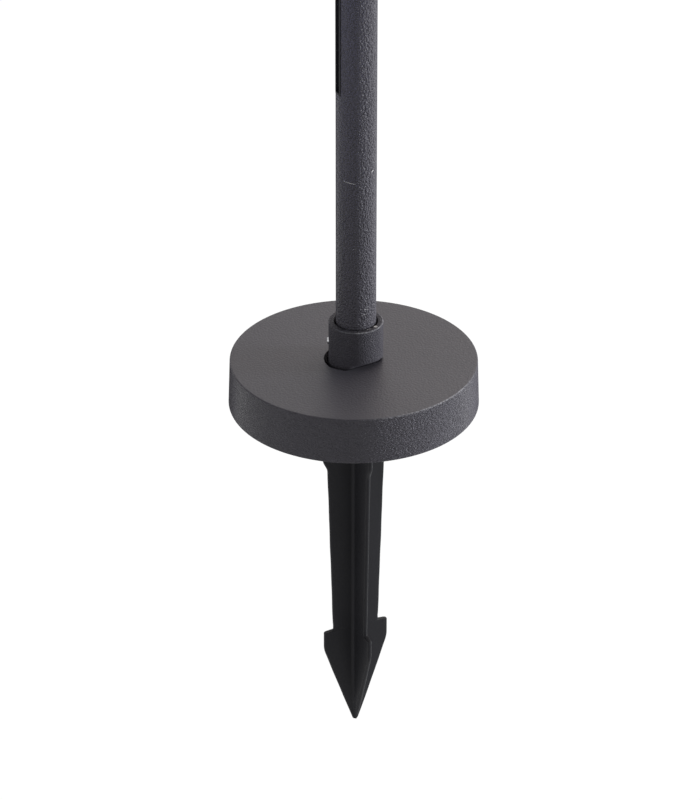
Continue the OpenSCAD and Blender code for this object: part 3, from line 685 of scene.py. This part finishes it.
def keyedRadius(radius, flat, half):
    # distance from the axis to a round outline with one flat, as a function of the direction
    corner, sweep, turn = socket["keyCorner"], socket["keySweep"], socket["keyTurn"]
    flatPoints, cornerPoints, sidePoints, sideStart = 41, 15, 40, 0.02
    points = [(flat, y) for y in np.linspace(-half, half, flatPoints)]
    for side in (-1, 1):
        for a in np.linspace(0, sweep, cornerPoints):
            points.append((flat - corner + corner * math.cos(a), side * (half + corner * math.sin(a))))
        x, y = points[-1]
        for t in np.linspace(sideStart, 1, sidePoints) * radius:
            points.append((x - t * math.sin(sweep), y + side * t * math.cos(sweep)))
    keyed = sorted((math.atan2(y, x), math.hypot(x, y)) for x, y in points if x > 0)
    angles = [a for a, r in keyed]
    reaches = [min(r, radius) for a, r in keyed]

    def reachAt(angle):
        away = (angle - turn + math.pi) % fullTurn - math.pi
        if away < angles[0] or away > angles[-1]:
            return radius
        return float(np.interp(away, angles, reaches))

    return reachAt


def postSocket():
    s = socket
    radius, top = socketBox.half.x, socketBox.high.z
    angles = evenAngles(s["columns"])
    neck = keyedRadius(radius, s["keyFlat"], s["keyHalf"])
    shoulder = discBox.high.z + s["shoulderRise"]
    early = 0.3  # how far the middle row of a rounding lies from its edge

    def roof(reach):
        # height of the shoulder over a point of the outline
        def at(angle):
            x = reach(angle) * math.cos(angle - s["keyTurn"])
            return shoulder + max(0, x - s["bevelStart"]) * math.tan(s["bevel"])
        return at

    def rounding(angle):
        return min(s["coatRound"], (radius - neck(angle)) / 2)

    ledge = roof(neck)
    brow = roof(lambda a: radius)
    rings = [
        ring(lambda a: neck(a) - s["footChamfer"], 0, angles), ring(neck, s["footChamfer"], angles),
        ring(neck, lambda a: ledge(a) - rounding(a), angles),
        ring(lambda a: neck(a) + rounding(a) * early, lambda a: ledge(a) - rounding(a) * early, angles),
        ring(lambda a: neck(a) + rounding(a), ledge, angles),
        ring(lambda a: radius - rounding(a), lambda a: brow(a) - rounding(a) * early, angles),
        ring(lambda a: radius - rounding(a) * early, lambda a: brow(a) + rounding(a) * early, angles),
        ring(radius, lambda a: brow(a) + rounding(a), angles),
    ]
    rings += [ring(radius, z, angles) for z in s["sideRows"]]
    floor, cone = top - s["depth"], top - s["mouthDepth"]
    mouth, bore, hole = s["mouthRadius"], s["boreRadius"], s["floorHole"]
    inside = filletPath([
        (radius, s["sideRows"][0], 0), (radius, top, s["topRound"]), (mouth, top, s["mouthRound"]),
        (mouth, cone, s["coneRound"]), (bore, cone - s["mouthCone"], s["coneRound"]),
        (bore, floor, s["boreRound"]), (hole, floor, s["holeRound"]), (hole, 0, s["holeRound"]),
        (radius - s["footWall"], 0, 0),
    ], closed=False, steps=6)
    rings += [ring(r, z, angles) for r, z in inside[1:-1]]
    c = clampScrew
    narrow, start, end = c["radius"] + c["holeRoom"], c["holeFrom"], c["holeTo"]
    wide = narrow + c["sinkWidth"]
    drill = [(0, start), (narrow, start), (narrow, radius - c["sinkDepth"]), (wide, radius + c["sinkRise"]),
             (wide, end), (0, end)]
    cutter = place(lathe(drill, count=48), along(heading(c["turn"]), (0, 0, c["height"])))
    bm = cut(skin(rings, closed=True), cutter)
    return finishPiece("postSocket", bm, finishes["socketCoat"], "post_socket")


makeClampScrew()
postSocket()
print("socket: neck and clamp screw made")


# Ground disc: pressed cover with a keyed hole, a boss and ribs underneath
disc = {
    "topRadius": 62.5 * mm,
    "wall": 3 * mm,
    "topRound": 0.65 * mm,
    "footRound": 0.4 * mm,
    "innerRound": 1.2 * mm,
    "holeRoom": 1.2 * mm,
    "flatRoom": 1.5 * mm,
    "cornerRoom": 0.95 * mm,
    "holeRound": 0.35 * mm,
    "holeDrop": 7 * mm,
    "bossWall": 2.8 * mm,
    "bossFoot": 1.2 * mm,
    "topRows": 10,
    "topRowsFrom": 3 * mm,
    "columns": 360,
    "ribs": 6,
    "ribThickness": 2 * mm,
    "ribDepth": 9 * mm,
    "ribTaper": 1.25,
    "ribRound": 0.6,
    "ribSink": (0.6 * mm, 0.8 * mm),
    "levelNormal": 0.96,
}


def groundDisc():
    d = disc
    centre = discCentre
    top, under, foot, bevel = discBox.high.z, discBox.high.z - d["wall"], discBox.half.x, d["holeRound"]
    roomy = socketBox.half.x + d["holeRoom"]
    hole = keyedRadius(roomy, socket["keyFlat"] + d["flatRoom"], socket["keyHalf"] + d["cornerRoom"])
    boss = roomy + d["bossWall"]
    angles = evenAngles(d["columns"])
    rounding = [(1 - math.sin(t), 1 - math.cos(t)) for t in np.linspace(math.pi / 2, 0, 5)]
    rings = [ring(lambda a, w=w: hole(a) + w * bevel, top - h * bevel, angles, centre)
             for w, h in [(0, d["holeDrop"] / bevel)] + rounding]
    topRadii = np.linspace(boss + d["topRowsFrom"], d["topRadius"] - d["topRowsFrom"], d["topRows"])
    rings += [ring(r, top, angles, centre) for r in topRadii]
    outside = filletPath([
        (topRadii[-1], top, 0), (d["topRadius"], top, d["topRound"]), (foot, 0, d["footRound"]),
        (foot - d["wall"], 0, d["footRound"]), (d["topRadius"] - d["wall"], under, d["innerRound"]),
        (boss, under, d["innerRound"]), (boss, 0, d["footRound"]), (boss - d["bossFoot"], 0, 0),
    ], closed=False, steps=7)
    rings += [ring(r, z, angles, centre) for r, z in outside[1:]]
    rings.append(ring(lambda a: hole(a) + bevel, 0, angles, centre))
    rings.append(ring(hole, bevel, angles, centre))
    bm = skin(rings, closed=True)
    half, innerSink, outerSink = d["ribThickness"] / 2, *d["ribSink"]
    low, high, wide = under - d["ribDepth"], under + innerSink, half * d["ribTaper"]
    outline = filletPath([(-half, low, half * d["ribRound"]), (half, low, half * d["ribRound"]),
                          (wide, high, 0), (-wide, high, 0)], steps=4)
    for a in evenAngles(d["ribs"], socket["keyTurn"] + math.pi / d["ribs"]):
        inner, outer = boss - innerSink, d["topRadius"] - d["wall"] + outerSink
        rib = skin([[(r, y, z) for y, z in outline] for r in (inner, outer)])
        join(bm, place(rib, Matrix.Translation((*centre, 0)) @ Matrix.Rotation(a, 4, "Z")))
    cover = finishPiece("groundDisc", bm, finishes["disc_coat"], "base_disc")
    cover.data.materials.append(finishes["discTop"])
    for face in cover.data.polygons:
        level = face.normal.z > d["levelNormal"]
        face.material_index = int(level and face.center.z > top - d["topRound"] / 4)
    return cover


groundDisc()
print("disc: cover with ribs made")


# Ground spike: one moulding of four blades round a core, with a flared head, barbs and a rounded point
spike = {
    "headReach": 18.4 * mm,
    "headLap": 0.5 * mm,
    "headMiddle": 18 * mm,
    "headDepth": 31 * mm,
    "flare": 8 * mm,
    "bladeReach": 15.8 * mm,
    "neckReach": 12.8 * mm,
    "barbDepth": 135.3 * mm,
    "barbDrop": 0.5 * mm,
    "barbReach": 18.1 * mm,
    "barbHeight": 10.9 * mm,
    "barbCorner": 16 * mm,
    "barbRound": 0.6 * mm,
    "barbStart": 3 * mm,
    "tipRadius": 1.7 * mm,
    "tipHalf": 1.15 * mm,
    "tipShare": 0.3,
    "edgeShare": 0.85,
    "rootHalf": 1.75 * mm,
    "rootFillet": 1.9 * mm,
    "rootShare": 0.6,
    "waver": 0.088 * mm,
    "waverLengths": (11 * mm, 4.3 * mm),
    "flangeDepth": 4 * mm,
    "flangeRounds": (0.5 * mm, 0.8 * mm),
    "hubRadius": 12 * mm,
    "hubTaper": 0.4 * mm,
    "hubDepth": 25 * mm,
    "hubRounds": (2 * mm, 1.2 * mm),
    "chamberRadius": 6.5 * mm,
    "chamberDepth": 22 * mm,
    "insertRadius": 7.53 * mm,
    "insertDepth": 10.05 * mm,
    "portRadius": 4.8 * mm,
    "portDepth": 16 * mm,
    "portTurn": math.radians(135),
    "portLength": 24 * mm,
}


def bladeRing(reach, depth):
    # outline of the cross at one depth, each blade from one root fillet to the next
    s = spike
    rootSteps, edgeSteps, sideShares = 6, 4, (0.3, 0.6, 0.85)
    slow, quick = s["waverLengths"]
    shrink = min(1, s["rootShare"] * reach / (s["rootHalf"] + s["rootFillet"]))
    root, fillet = s["rootHalf"] * shrink, s["rootFillet"] * shrink
    tip = min(s["tipHalf"], s["tipShare"] * reach)
    edge = tip * s["edgeShare"]
    reach += s["waver"] * math.sin(depth / slow) * math.sin(depth / quick + 1) * shrink
    upper = []
    for k in range(rootSteps + 1):
        a = math.radians(225 + 45 * k / rootSteps)
        upper.append((root + fillet + fillet * math.cos(a), root + fillet + fillet * math.sin(a)))
    for share in sideShares:
        x = root + fillet + (reach - edge - root - fillet) * share
        upper.append((x, root + (tip - root) * share))
    for k in range(edgeSteps + 1):
        a = math.radians(90 - 90 * k / edgeSteps)
        upper.append((reach - edge + edge * math.cos(a), tip - edge + edge * math.sin(a)))
    blade = [(x, -y) for x, y in upper] + upper[::-1]
    quarters = ((1, 0), (0, 1), (-1, 0), (0, -1))
    return [(x * across - y * ahead, x * ahead + y * across, -depth)
            for across, ahead in quarters for x, y in blade]


def bladeLevels():
    # reach of the blades against depth, from the head down
    s = spike
    flareSteps, bladeSteps, pointSteps, tipSteps, shortOfPole = 8, 24, 15, 7, 0.4
    head, blade, neck, barb, tipRadius = (
        s[name] for name in ("headReach", "bladeReach", "neckReach", "barbReach", "tipRadius"))
    levels = [(head, s["flangeDepth"] - s["headLap"]), (head, s["headMiddle"]), (head, s["headDepth"])]
    for k in range(1, flareSteps + 1):
        ease = (1 - math.cos(math.pi * k / flareSteps)) / 2
        levels.append((head + (blade - head) * ease, s["headDepth"] + s["flare"] * k / flareSteps))
    top = levels[-1][1]
    for k in range(1, bladeSteps):
        t = k / bladeSteps
        levels.append((blade + (neck - blade) * t, top + (s["barbDepth"] - top) * t))

    # the point's sides run from the barbs' lower corners and touch the round tip
    barbTop = s["barbDepth"] + s["barbDrop"]
    low, tip = barbTop + s["barbHeight"], -spikeBox.low.z - tipRadius
    lean = math.atan2(tip - low, barb) - math.acos(tipRadius / math.hypot(barb, tip - low))
    tangent = (tipRadius * math.cos(lean), tip - tipRadius * math.sin(lean))
    levels += filletPath([
        (neck, s["barbDepth"] - s["barbStart"], 0), (neck, s["barbDepth"], s["barbRound"]),
        (barb, barbTop, s["barbRound"]), (barb, low, s["barbCorner"]), (*tangent, 0),
    ], closed=False, steps=6)
    last = levels.pop()
    start = levels[-1]
    for k in range(1, pointSteps):
        levels.append(tuple(a + (b - a) * k / pointSteps for a, b in zip(start, last)))
    for k in range(tipSteps + 1):
        a = lean - (lean + math.pi / 2) * k / (tipSteps + shortOfPole)
        levels.append((tipRadius * math.cos(a), tip - tipRadius * math.sin(a)))
    return levels


def groundSpike():
    s = spike
    cross = skin([bladeRing(reach, depth) for reach, depth in bladeLevels()])
    flange, hub, chamber, seat = spikeBox.half.x, s["hubRadius"], s["chamberRadius"], s["insertRadius"]
    upperRound, lowerRound = s["flangeRounds"]
    rootRound, endRound = s["hubRounds"]
    head = lathe(filletPath([
        (0, 0, 0), (flange, 0, upperRound), (flange, -s["flangeDepth"], lowerRound),
        (hub, -s["flangeDepth"], rootRound), (hub - s["hubTaper"], -s["hubDepth"], endRound),
        (0, -s["hubDepth"], 0),
    ]), count=144)
    above = 1 * mm
    hollow = lathe([
        (0, above), (seat, above), (seat, -s["insertDepth"]), (chamber, -s["insertDepth"]),
        (chamber, -s["chamberDepth"]), (0, -s["chamberDepth"]),
    ], count=72)
    radius, length = s["portRadius"], s["portLength"]
    port = lathe([(0, 0), (radius, 0), (radius, length), (0, length)], count=48)
    place(port, along(heading(s["portTurn"]), (0, 0, -s["portDepth"])))
    bm = cut(cut(cross, head, operation="UNION"), hollow, port)
    return finishPiece("groundSpike", bm, finishes["spike_plastic"], "ground_spike", smooth=28)


groundSpike()
print("spike: blades, hub and port made")


# Housing of the light slot: proud nose with rounded rims, open groove, hidden flange
housing = {
    "noseWidth": 5.5 * mm,
    "grooveWidth": 3.4 * mm,
    "noseFront": 10.4 * mm,
    "flangeWidth": 9.4 * mm,
    "flangeFront": 8.1 * mm,
    "back": 5.35 * mm,
    "pocketWidth": 5.3 * mm,
    "pocketFront": 6.9 * mm,
    "edgeRound": 0.25 * mm,
    "cornerRound": 0.1 * mm,
    "pocketRound": 0.05 * mm,
    "noseEndRound": 0.18 * mm,
    "flangeEndRound": 0.2 * mm,
    "endTurn": 60,
    "lap": 4 * mm,
    "rim": 1.1 * mm,
    "railLap": 0.25 * mm,
    "flangeLap": 0.1 * mm,
}


def slotHousing():
    h = housing
    crownShare, crownPoints = 0.8, 7
    box = boxOf("slot_housing")
    low, high = box.low.z + h["lap"], box.high.z - h["lap"]
    inner, outer = low + h["rim"], high - h["rim"]
    nose, groove = h["noseWidth"] / 2, h["grooveWidth"] / 2
    flange, pocket = h["flangeWidth"] / 2, h["pocketWidth"] / 2
    edge, corner = h["edgeRound"], h["cornerRound"]

    def front(x, reach):
        # the front is curved like the tube
        return -math.sqrt(reach * reach - x * x)

    def crown(half, reach):
        # points across the curved front, between its two corners
        return [(x, front(x, reach)) for x in np.linspace(-half * crownShare, half * crownShare, crownPoints)]

    outerCorners = [
        (nose, front(nose, h["noseFront"]), edge), (nose, front(nose, h["flangeFront"]), corner),
        (flange, front(flange, h["flangeFront"]), edge), (flange, -h["back"], edge),
    ]
    rail = filletPath([
        (groove, front(groove, h["noseFront"]), edge), *outerCorners, (pocket, -h["back"], corner),
        (pocket, -h["pocketFront"], h["pocketRound"]), (groove, -h["pocketFront"], corner),
    ], steps=4)
    noseEnd = filletPath(outerCorners + [(-x, y, r) for x, y, r in outerCorners[::-1]], steps=4)
    noseEnd += crown(nose, h["noseFront"])
    flangeEnd = [(x, y) for x, y, r in outerCorners[2:]]
    flangeEnd += [(-x, y) for x, y in flangeEnd[::-1]] + crown(flange, h["flangeFront"])
    railEnds = (inner - h["railLap"], outer + h["railLap"])
    pieces = [prism([(sign * x, y) for x, y in rail], *railEnds) for sign in (-1, 1)]
    pieces += [soften(prism(noseEnd, *levels), h["noseEndRound"], limit=h["endTurn"])
               for levels in ((low, inner), (outer, high))]
    pieces += [soften(prism(flangeEnd, *levels), h["flangeEndRound"], limit=h["endTurn"])
               for levels in ((box.low.z, low + h["flangeLap"]), (high - h["flangeLap"], box.high.z))]
    return finishPiece("slotHousing", join(*pieces), finishes["housing_plastic"], "slot_housing")


slotHousing()
print("light slot: housing made")


# Top cap with its screw, and the two screws in the back of the post
cap = {
    "edgeRound": 0.9 * mm,
    "lowerRound": 0.2 * mm,
    "plate": 3 * mm,
    "seatRise": 0.05 * mm,
    "spigotRadius": 8.45 * mm,
    "spigotRound": 0.6 * mm,
    "groove": 1.4 * mm,
    "grooveAt": 4.5 * mm,
    "smallRound": 0.1 * mm,
    "holeRound": 0.12 * mm,
    "screwHead": 2.43 * mm,
    "screwShank": 1.23 * mm,
}
capScrewSizes = {"head": 2.4 * mm, "headHeight": 1.2 * mm, "shank": 1.2 * mm, "length": 20 * mm,
                 "pitch": 0.5 * mm, "depth": 0.2 * mm, "driveWidth": 1.44 * mm}
sinkScrewSizes = {"head": 2.5 * mm, "headHeight": 1.25 * mm, "shank": 1.25 * mm, "length": 7.7 * mm,
                  "pitch": 0.5 * mm, "depth": 0.2 * mm, "driveWidth": 1.5 * mm}


def topCap():
    c = cap
    top, seat = capBox.high.z, capBox.high.z - c["plate"] + c["seatRise"]
    grooveMiddle = capBox.high.z - c["plate"] - c["grooveAt"]
    ringTop, ringLow = grooveMiddle + c["groove"] / 2, grooveMiddle - c["groove"] / 2
    head, shank, spigot, small = c["screwHead"], c["screwShank"], c["spigotRadius"], c["smallRound"]
    low, radius, bottom = capBox.low.z, capBox.half.x, spigot - c["groove"]
    profile = filletPath([
        (head, top, c["holeRound"]), (radius, top, c["edgeRound"]), (radius, seat, c["lowerRound"]),
        (spigot, seat, 0), (spigot, ringTop, small), (bottom, ringTop, small), (bottom, ringLow, small),
        (spigot, ringLow, small), (spigot, low, c["spigotRound"]), (shank, low, small),
        (shank, top - head / 2, 0), (head, top - head / 6, 0),
    ], steps=6)
    return finishPiece("topCap", lathe(profile, count=160), finishes["post_coat"], "top_cap")


def capScrew():
    bm = place(headedScrew(**capScrewSizes), Matrix.Translation((0, 0, capBox.high.z)))
    return finishPiece("capScrew", bm, finishes["darkSteel"], "cap_screw")


def sinkScrews():
    screws = [place(headedScrew(**sinkScrewSizes), along((0, 1, 0), (0, postRadius, z)))
              for z in tube["screwHeights"]]
    return finishPiece("sinkScrews", join(*screws), finishes["darkSteel"], "sink_screws")


topCap()
capScrew()
sinkScrews()
print("cap and screws: made")


# Cable way: hollow nipple with its nut and washer in the socket, insert and grommet in the spike
nipple = {"threadPitch": 1.0 * mm, "threadDepth": 0.45 * mm, "bore": 3.5 * mm, "chamfer": 0.5 * mm,
          "columns": 48, "rowsPerTurn": 8}
nut = {"bore": 5.03 * mm, "boreChamfer": 0.35 * mm, "chamfer": 0.7 * mm, "lean": 0.4, "columns": 96}
washer = {
    "teeth": 14,
    "columnsPerTooth": 12,
    "hole": 5.15 * mm,
    "toothLength": 0.55 * mm,
    "toothEdge": 4,
    "lean": 0.18 * mm,
    "leanStart": 1.2,
    "bandInner": 6.2 * mm,
    "bandShare": 0.45,
    "toothShare": 0.6,
}
insert = {"bore": 5.05 * mm, "chamfer": 0.35 * mm, "knurls": 40, "columnsPerKnurl": 6,
          "knurlDepth": 0.28 * mm, "grooveSide": 0.05 * mm, "waistRows": (2.25, 2.875), "shoulderRow": 3.25}
grommet = {"bore": 3.3 * mm, "neck": 4.77 * mm, "neckRound": 0.3 * mm, "lipRound": 0.15 * mm,
           "lipShare": 0.7, "mouthRound": 0.6 * mm}


def threadedNipple():
    n = nipple
    box = boxOf("threaded_nipple")
    low, high, radius, chamfer = box.low.z, box.high.z, box.half.x, n["chamfer"]
    angles = evenAngles(n["columns"])
    rows = [ring(n["bore"], low, angles), ring(radius - chamfer, low, angles)]
    steps = int((high - low) / n["threadPitch"] * n["rowsPerTurn"])
    for s in range(steps + 1):
        z = low + chamfer / 2 + (high - low - chamfer) * s / steps

        def reach(angle, z=z):
            phase = ((z - low) / n["threadPitch"] - angle / fullTurn) % 1
            return radius - n["threadDepth"] * abs(2 * phase - 1)

        rows.append(ring(reach, z, angles))
    rows += [ring(radius - chamfer, high, angles), ring(n["bore"], high, angles)]
    return finishPiece("threadedNipple", skin(rows, closed=True), finishes["brass"], "threaded_nipple")


def nippleNut():
    n = nut
    box = boxOf("nipple_nut")
    low, high, bore, fall = box.low.z, box.high.z, n["bore"], n["boreChamfer"]
    flats = max(box.half.x, box.half.y) * math.cos(math.pi / 6)
    start = 0 if box.half.x > box.half.y else math.pi / 2
    angles = evenAngles(n["columns"])

    def hexagon(angle):
        return flats / math.cos((angle - start) % (math.pi / 3) - math.pi / 6)

    def capped(limit):
        return lambda a: min(hexagon(a), limit)

    def rise(angle):
        # how far the round chamfer reaches down the corners
        return fall + (hexagon(angle) - flats) * n["lean"]

    rows = [ring(bore + fall, low, angles), ring(capped(flats), low, angles)]
    rows += [ring(capped(flats + n["chamfer"] * k / 3), low + fall * k / 3, angles) for k in (1, 2)]
    rows += [ring(hexagon, lambda a: low + rise(a), angles), ring(hexagon, lambda a: high - rise(a), angles)]
    rows += [ring(capped(flats + n["chamfer"] * k / 3), high - fall * k / 3, angles) for k in (2, 1)]
    rows += [ring(capped(flats), high, angles), ring(bore + fall, high, angles)]
    rows += [ring(bore, high - fall, angles), ring(bore, low + fall, angles)]
    return finishPiece("nippleNut", skin(rows, closed=True), finishes["steel"], "nipple_nut")


def lockWasher():
    w = washer
    box = boxOf("lock_washer")
    angles = evenAngles(w["teeth"] * w["columnsPerTooth"])
    middle, flat = box.middle.z, box.half.z * w["bandShare"]
    tooth = flat * w["toothShare"]

    def inner(angle):
        wave = math.tanh(w["toothEdge"] * math.sin(w["teeth"] * angle))
        return w["hole"] + w["toothLength"] * (0.5 + 0.5 * wave)

    def twist(lift):
        # teeth lean from one face to the other
        return lambda a: lift + w["lean"] * math.sin(w["teeth"] * a + w["leanStart"])

    rows = [ring(box.half.x, middle - flat, angles), ring(box.half.x, middle + flat, angles),
            ring(w["bandInner"], middle + flat, angles), ring(inner, twist(middle + tooth), angles),
            ring(inner, twist(middle - tooth), angles), ring(w["bandInner"], middle - flat, angles)]
    return finishPiece("lockWasher", skin(rows, closed=True), finishes["steel"], "lock_washer")


def spikeInsert():
    s = insert
    box = boxOf("spike_insert")
    low, high, bore, fall = box.low.z, box.high.z, s["bore"], s["chamfer"]
    fifth = (high - low) / 5
    angles = evenAngles(s["knurls"] * s["columnsPerKnurl"])
    end, waist = box.half.x - s["knurlDepth"] - fall, box.half.x - fifth / 4

    def knurled(angle):
        return box.half.x - s["knurlDepth"] * (0.5 + 0.5 * math.cos(s["knurls"] * angle))

    rows = [ring(bore + fall, low, angles), ring(end, low, angles), ring(knurled, low + fall, angles)]
    rows += [ring(knurled, low + 2 * fifth - s["grooveSide"], angles)]
    rows += [ring(waist, low + row * fifth, angles) for row in s["waistRows"]]
    rows += [ring(knurled, low + s["shoulderRow"] * fifth, angles)]
    rows += [ring(knurled, high - fall, angles), ring(end, high, angles), ring(bore + fall, high, angles)]
    rows += [ring(bore, high - fall, angles), ring(bore, low + fall, angles)]
    return finishPiece("spikeInsert", skin(rows, closed=True), finishes["brass"], "spike_insert")


def cableGrommet():
    g = grommet
    lip = boxOf("cable_grommet").half.z - spike["portRadius"]
    inner, hub = spike["chamberRadius"], spike["hubRadius"]
    wide = spike["portRadius"] + lip
    profile = filletPath([
        (g["bore"], inner, g["neckRound"]), (g["neck"], inner, g["neckRound"]), (g["neck"], hub, 0),
        (wide, hub, g["lipRound"]), (wide, hub + lip, lip * g["lipShare"]),
        (g["bore"], hub + lip, g["mouthRound"]),
    ], steps=5)
    bm = place(lathe(profile, count=64), along(heading(spike["portTurn"]), (0, 0, -spike["portDepth"])))
    return finishPiece("cableGrommet", bm, finishes["rubber"], "cable_grommet")


threadedNipple()
nippleNut()
lockWasher()
spikeInsert()
cableGrommet()
print("cable way: nipple, nut, washer, insert and grommet made")


# Diffuser: moulded strip with fine ribs along its face
diffuser = {"ribs": 11, "ribDepth": 0.12 * mm, "edgeRound": 0.2 * mm, "stepsPerRib": 6, "endRow": 0.2 * mm}


def makeDiffuser():
    d = diffuser
    box = boxOf("diffuser")
    half, front, back, edge = box.half.x, box.low.y, box.high.y, d["edgeRound"]
    columns = d["ribs"] * d["stepsPerRib"]
    outline = []
    for k in range(columns + 1):
        wave = 0.5 - 0.5 * math.cos(fullTurn * d["ribs"] * k / columns)
        outline.append((-half + edge + 2 * (half - edge) * k / columns, front + d["ribDepth"] * wave))
    corners = [(half, front, edge), (half, back, edge), (-half, back, edge), (-half, front, edge)]
    outline += filletPath(corners, steps=3)[1:]
    levels = (box.low.z, box.low.z + d["endRow"], box.high.z - d["endRow"], box.high.z)
    rings = [[(x, y, z) for x, y in outline] for z in levels]
    return finishPiece("diffuserStrip", skin(rings), finishes["opal"], "diffuser")


makeDiffuser()
print("diffuser: made")


# Studio: camera where the photograph was taken, four soft lamps, a cool spot, white floor and world
studio = {
    "distance": 1.8739,
    "elevation": 29.6375,
    "turn": 65.0,
    "roll": 0.057,
    "shiftRight": -2.9383 * mm,
    "shiftUp": -0.03 * mm,
    "lens": 166.44,
    "sensor": 36.0,
    "clipEnd": 50,
    "floorGap": 0.5 * mm,
    "floorSize": 12,
    "floorColour": (0.55, 0.55, 0.55, 1),
    "floorGlow": 1.1,
    "floorWhite": 0.9,
    "ambient": 0.165,
    "ambientTint": (0.98, 0.99, 1, 1),
}


def makeCamera():
    turn, rise, roll = (math.radians(studio[k]) for k in ("turn", "elevation", "roll"))
    forward = Vector((-math.sin(turn) * math.cos(rise), math.cos(turn) * math.cos(rise), -math.sin(rise)))
    level = Vector((math.cos(turn), math.sin(turn), 0))
    upright = level.cross(forward)
    right = math.cos(roll) * level + math.sin(roll) * upright
    up = -math.sin(roll) * level + math.cos(roll) * upright
    position = -forward * studio["distance"] + right * studio["shiftRight"] + up * studio["shiftUp"]
    data = bpy.data.cameras.new("camera")
    data.lens = studio["lens"]
    data.sensor_width = studio["sensor"]
    data.clip_end = studio["clipEnd"]
    camera = bpy.data.objects.new("camera", data)
    bpy.context.scene.collection.objects.link(camera)
    rotation = Matrix((right, up, -forward)).transposed().to_4x4()
    camera.matrix_world = Matrix.Translation(position) @ rotation
    bpy.context.scene.camera = camera


# angle is measured from the picture's right towards the camera, and power is in watts
lamps = {
    "rightKey": {"angle": -3, "rise": 4, "distance": 1.5, "size": (0.34, 0.5), "power": 23.6, "aim": 0.04,
                 "tint": (0.96, 0.98, 1.0)},
    "backSoft": {"angle": -60, "rise": 47, "distance": 1.6, "size": (1.5, 1.5), "power": 10.2, "aim": 0.02,
                 "tint": (1.0, 0.9, 0.8)},
    "leftRim": {"angle": 150, "rise": 6, "distance": 1.6, "size": (1.1, 1.0), "power": 3.6, "aim": 0.0,
                "tint": (1.0, 0.99, 0.97)},
    "frontFill": {"angle": 90, "rise": 22, "distance": 2.3, "size": (1.6, 1.4), "power": 3.4, "aim": 0.0,
                  "tint": (1.0, 1.0, 1.0)},
    "coolTop": {"angle": 136, "rise": 14, "distance": 1.2, "cone": 13, "blend": 0.7, "radius": 0.18,
                "power": 37, "aim": 0.33, "tint": (0.53, 0.58, 1.0)},
}


def makeLamp(name, angle, rise, distance, power, aim, tint, size=None, cone=0.0, blend=0.0, radius=0.0):
    # a soft rectangle of the given size, or a spot with a cone in degrees
    turn = math.radians(studio["turn"] - angle)
    lift = math.radians(rise)
    away = Vector(heading(turn, math.sin(lift), math.cos(lift)))
    data = bpy.data.lights.new(name, "AREA" if size else "SPOT")
    if size:
        data.shape = "RECTANGLE"
        data.size, data.size_y = size
    else:
        data.spot_size = math.radians(cone)
        data.spot_blend = blend
        data.shadow_soft_size = radius
    data.energy = power
    data.color = tint
    lamp = bpy.data.objects.new(name, data)
    bpy.context.scene.collection.objects.link(lamp)
    lamp.location = Vector((0, 0, aim)) + away * distance
    lamp.visible_glossy = bool(size)  # a spot this small would glitter in the coat
    lamp.rotation_euler = away.to_track_quat("Z", "Y").to_euler()


def seenDirectly(tree):
    # 1 for rays that show the background: from the camera, in a gloss or through glass
    path = addNode(tree, "LightPath").outputs
    first = calc(tree, "MAXIMUM", path["Is Camera Ray"], path["Is Glossy Ray"])
    return calc(tree, "MAXIMUM", first, path["Is Transmission Ray"])


def makeWorld():
    world = bpy.data.worlds.new("studioWorld")
    bpy.context.scene.world = world
    world.use_nodes = True
    tree = world.node_tree
    tree.nodes.clear()
    soft = addNode(tree, "Background", {"Color": studio["ambientTint"], "Strength": studio["ambient"]})
    white = addNode(tree, "Background", {"Color": (1, 1, 1, 1), "Strength": 1.0})
    mix = addNode(tree, "MixShader", {0: seenDirectly(tree), 1: soft.outputs[0], 2: white.outputs[0]})
    addNode(tree, "OutputWorld", {"Surface": mix.outputs[0]})


def makeFloor():
    bm = bmesh.new()
    bmesh.ops.create_grid(bm, x_segments=1, y_segments=1, size=studio["floorSize"])
    floor = meshObject("studioFloor", bm)
    floor.location.z = spikeBox.low.z - studio["floorGap"]
    material = bpy.data.materials.new("paleFloor")
    material.use_nodes = True
    tree = material.node_tree
    tree.nodes.clear()
    plain = addNode(tree, "BsdfDiffuse", {"Color": studio["floorColour"]})
    white = addNode(tree, "Emission", {"Color": (1, 1, 1, 1), "Strength": studio["floorGlow"]})
    share = calc(tree, "MULTIPLY", seenDirectly(tree), studio["floorWhite"])
    pale = addNode(tree, "MixShader", {0: share, 1: plain.outputs[0], 2: white.outputs[0]})
    clear = addNode(tree, "BsdfTransparent")
    under = addNode(tree, "NewGeometry").outputs["Backfacing"]
    both = addNode(tree, "MixShader", {0: under, 1: pale.outputs[0], 2: clear.outputs[0]})
    addNode(tree, "OutputMaterial", {"Surface": both.outputs[0]})
    floor.data.materials.append(material)


makeCamera()
for name, values in lamps.items():
    makeLamp(name, **values)
makeWorld()
makeFloor()
bpy.context.scene.view_settings.view_transform = "Standard"
print("studio: camera, lamps, world and floor made")
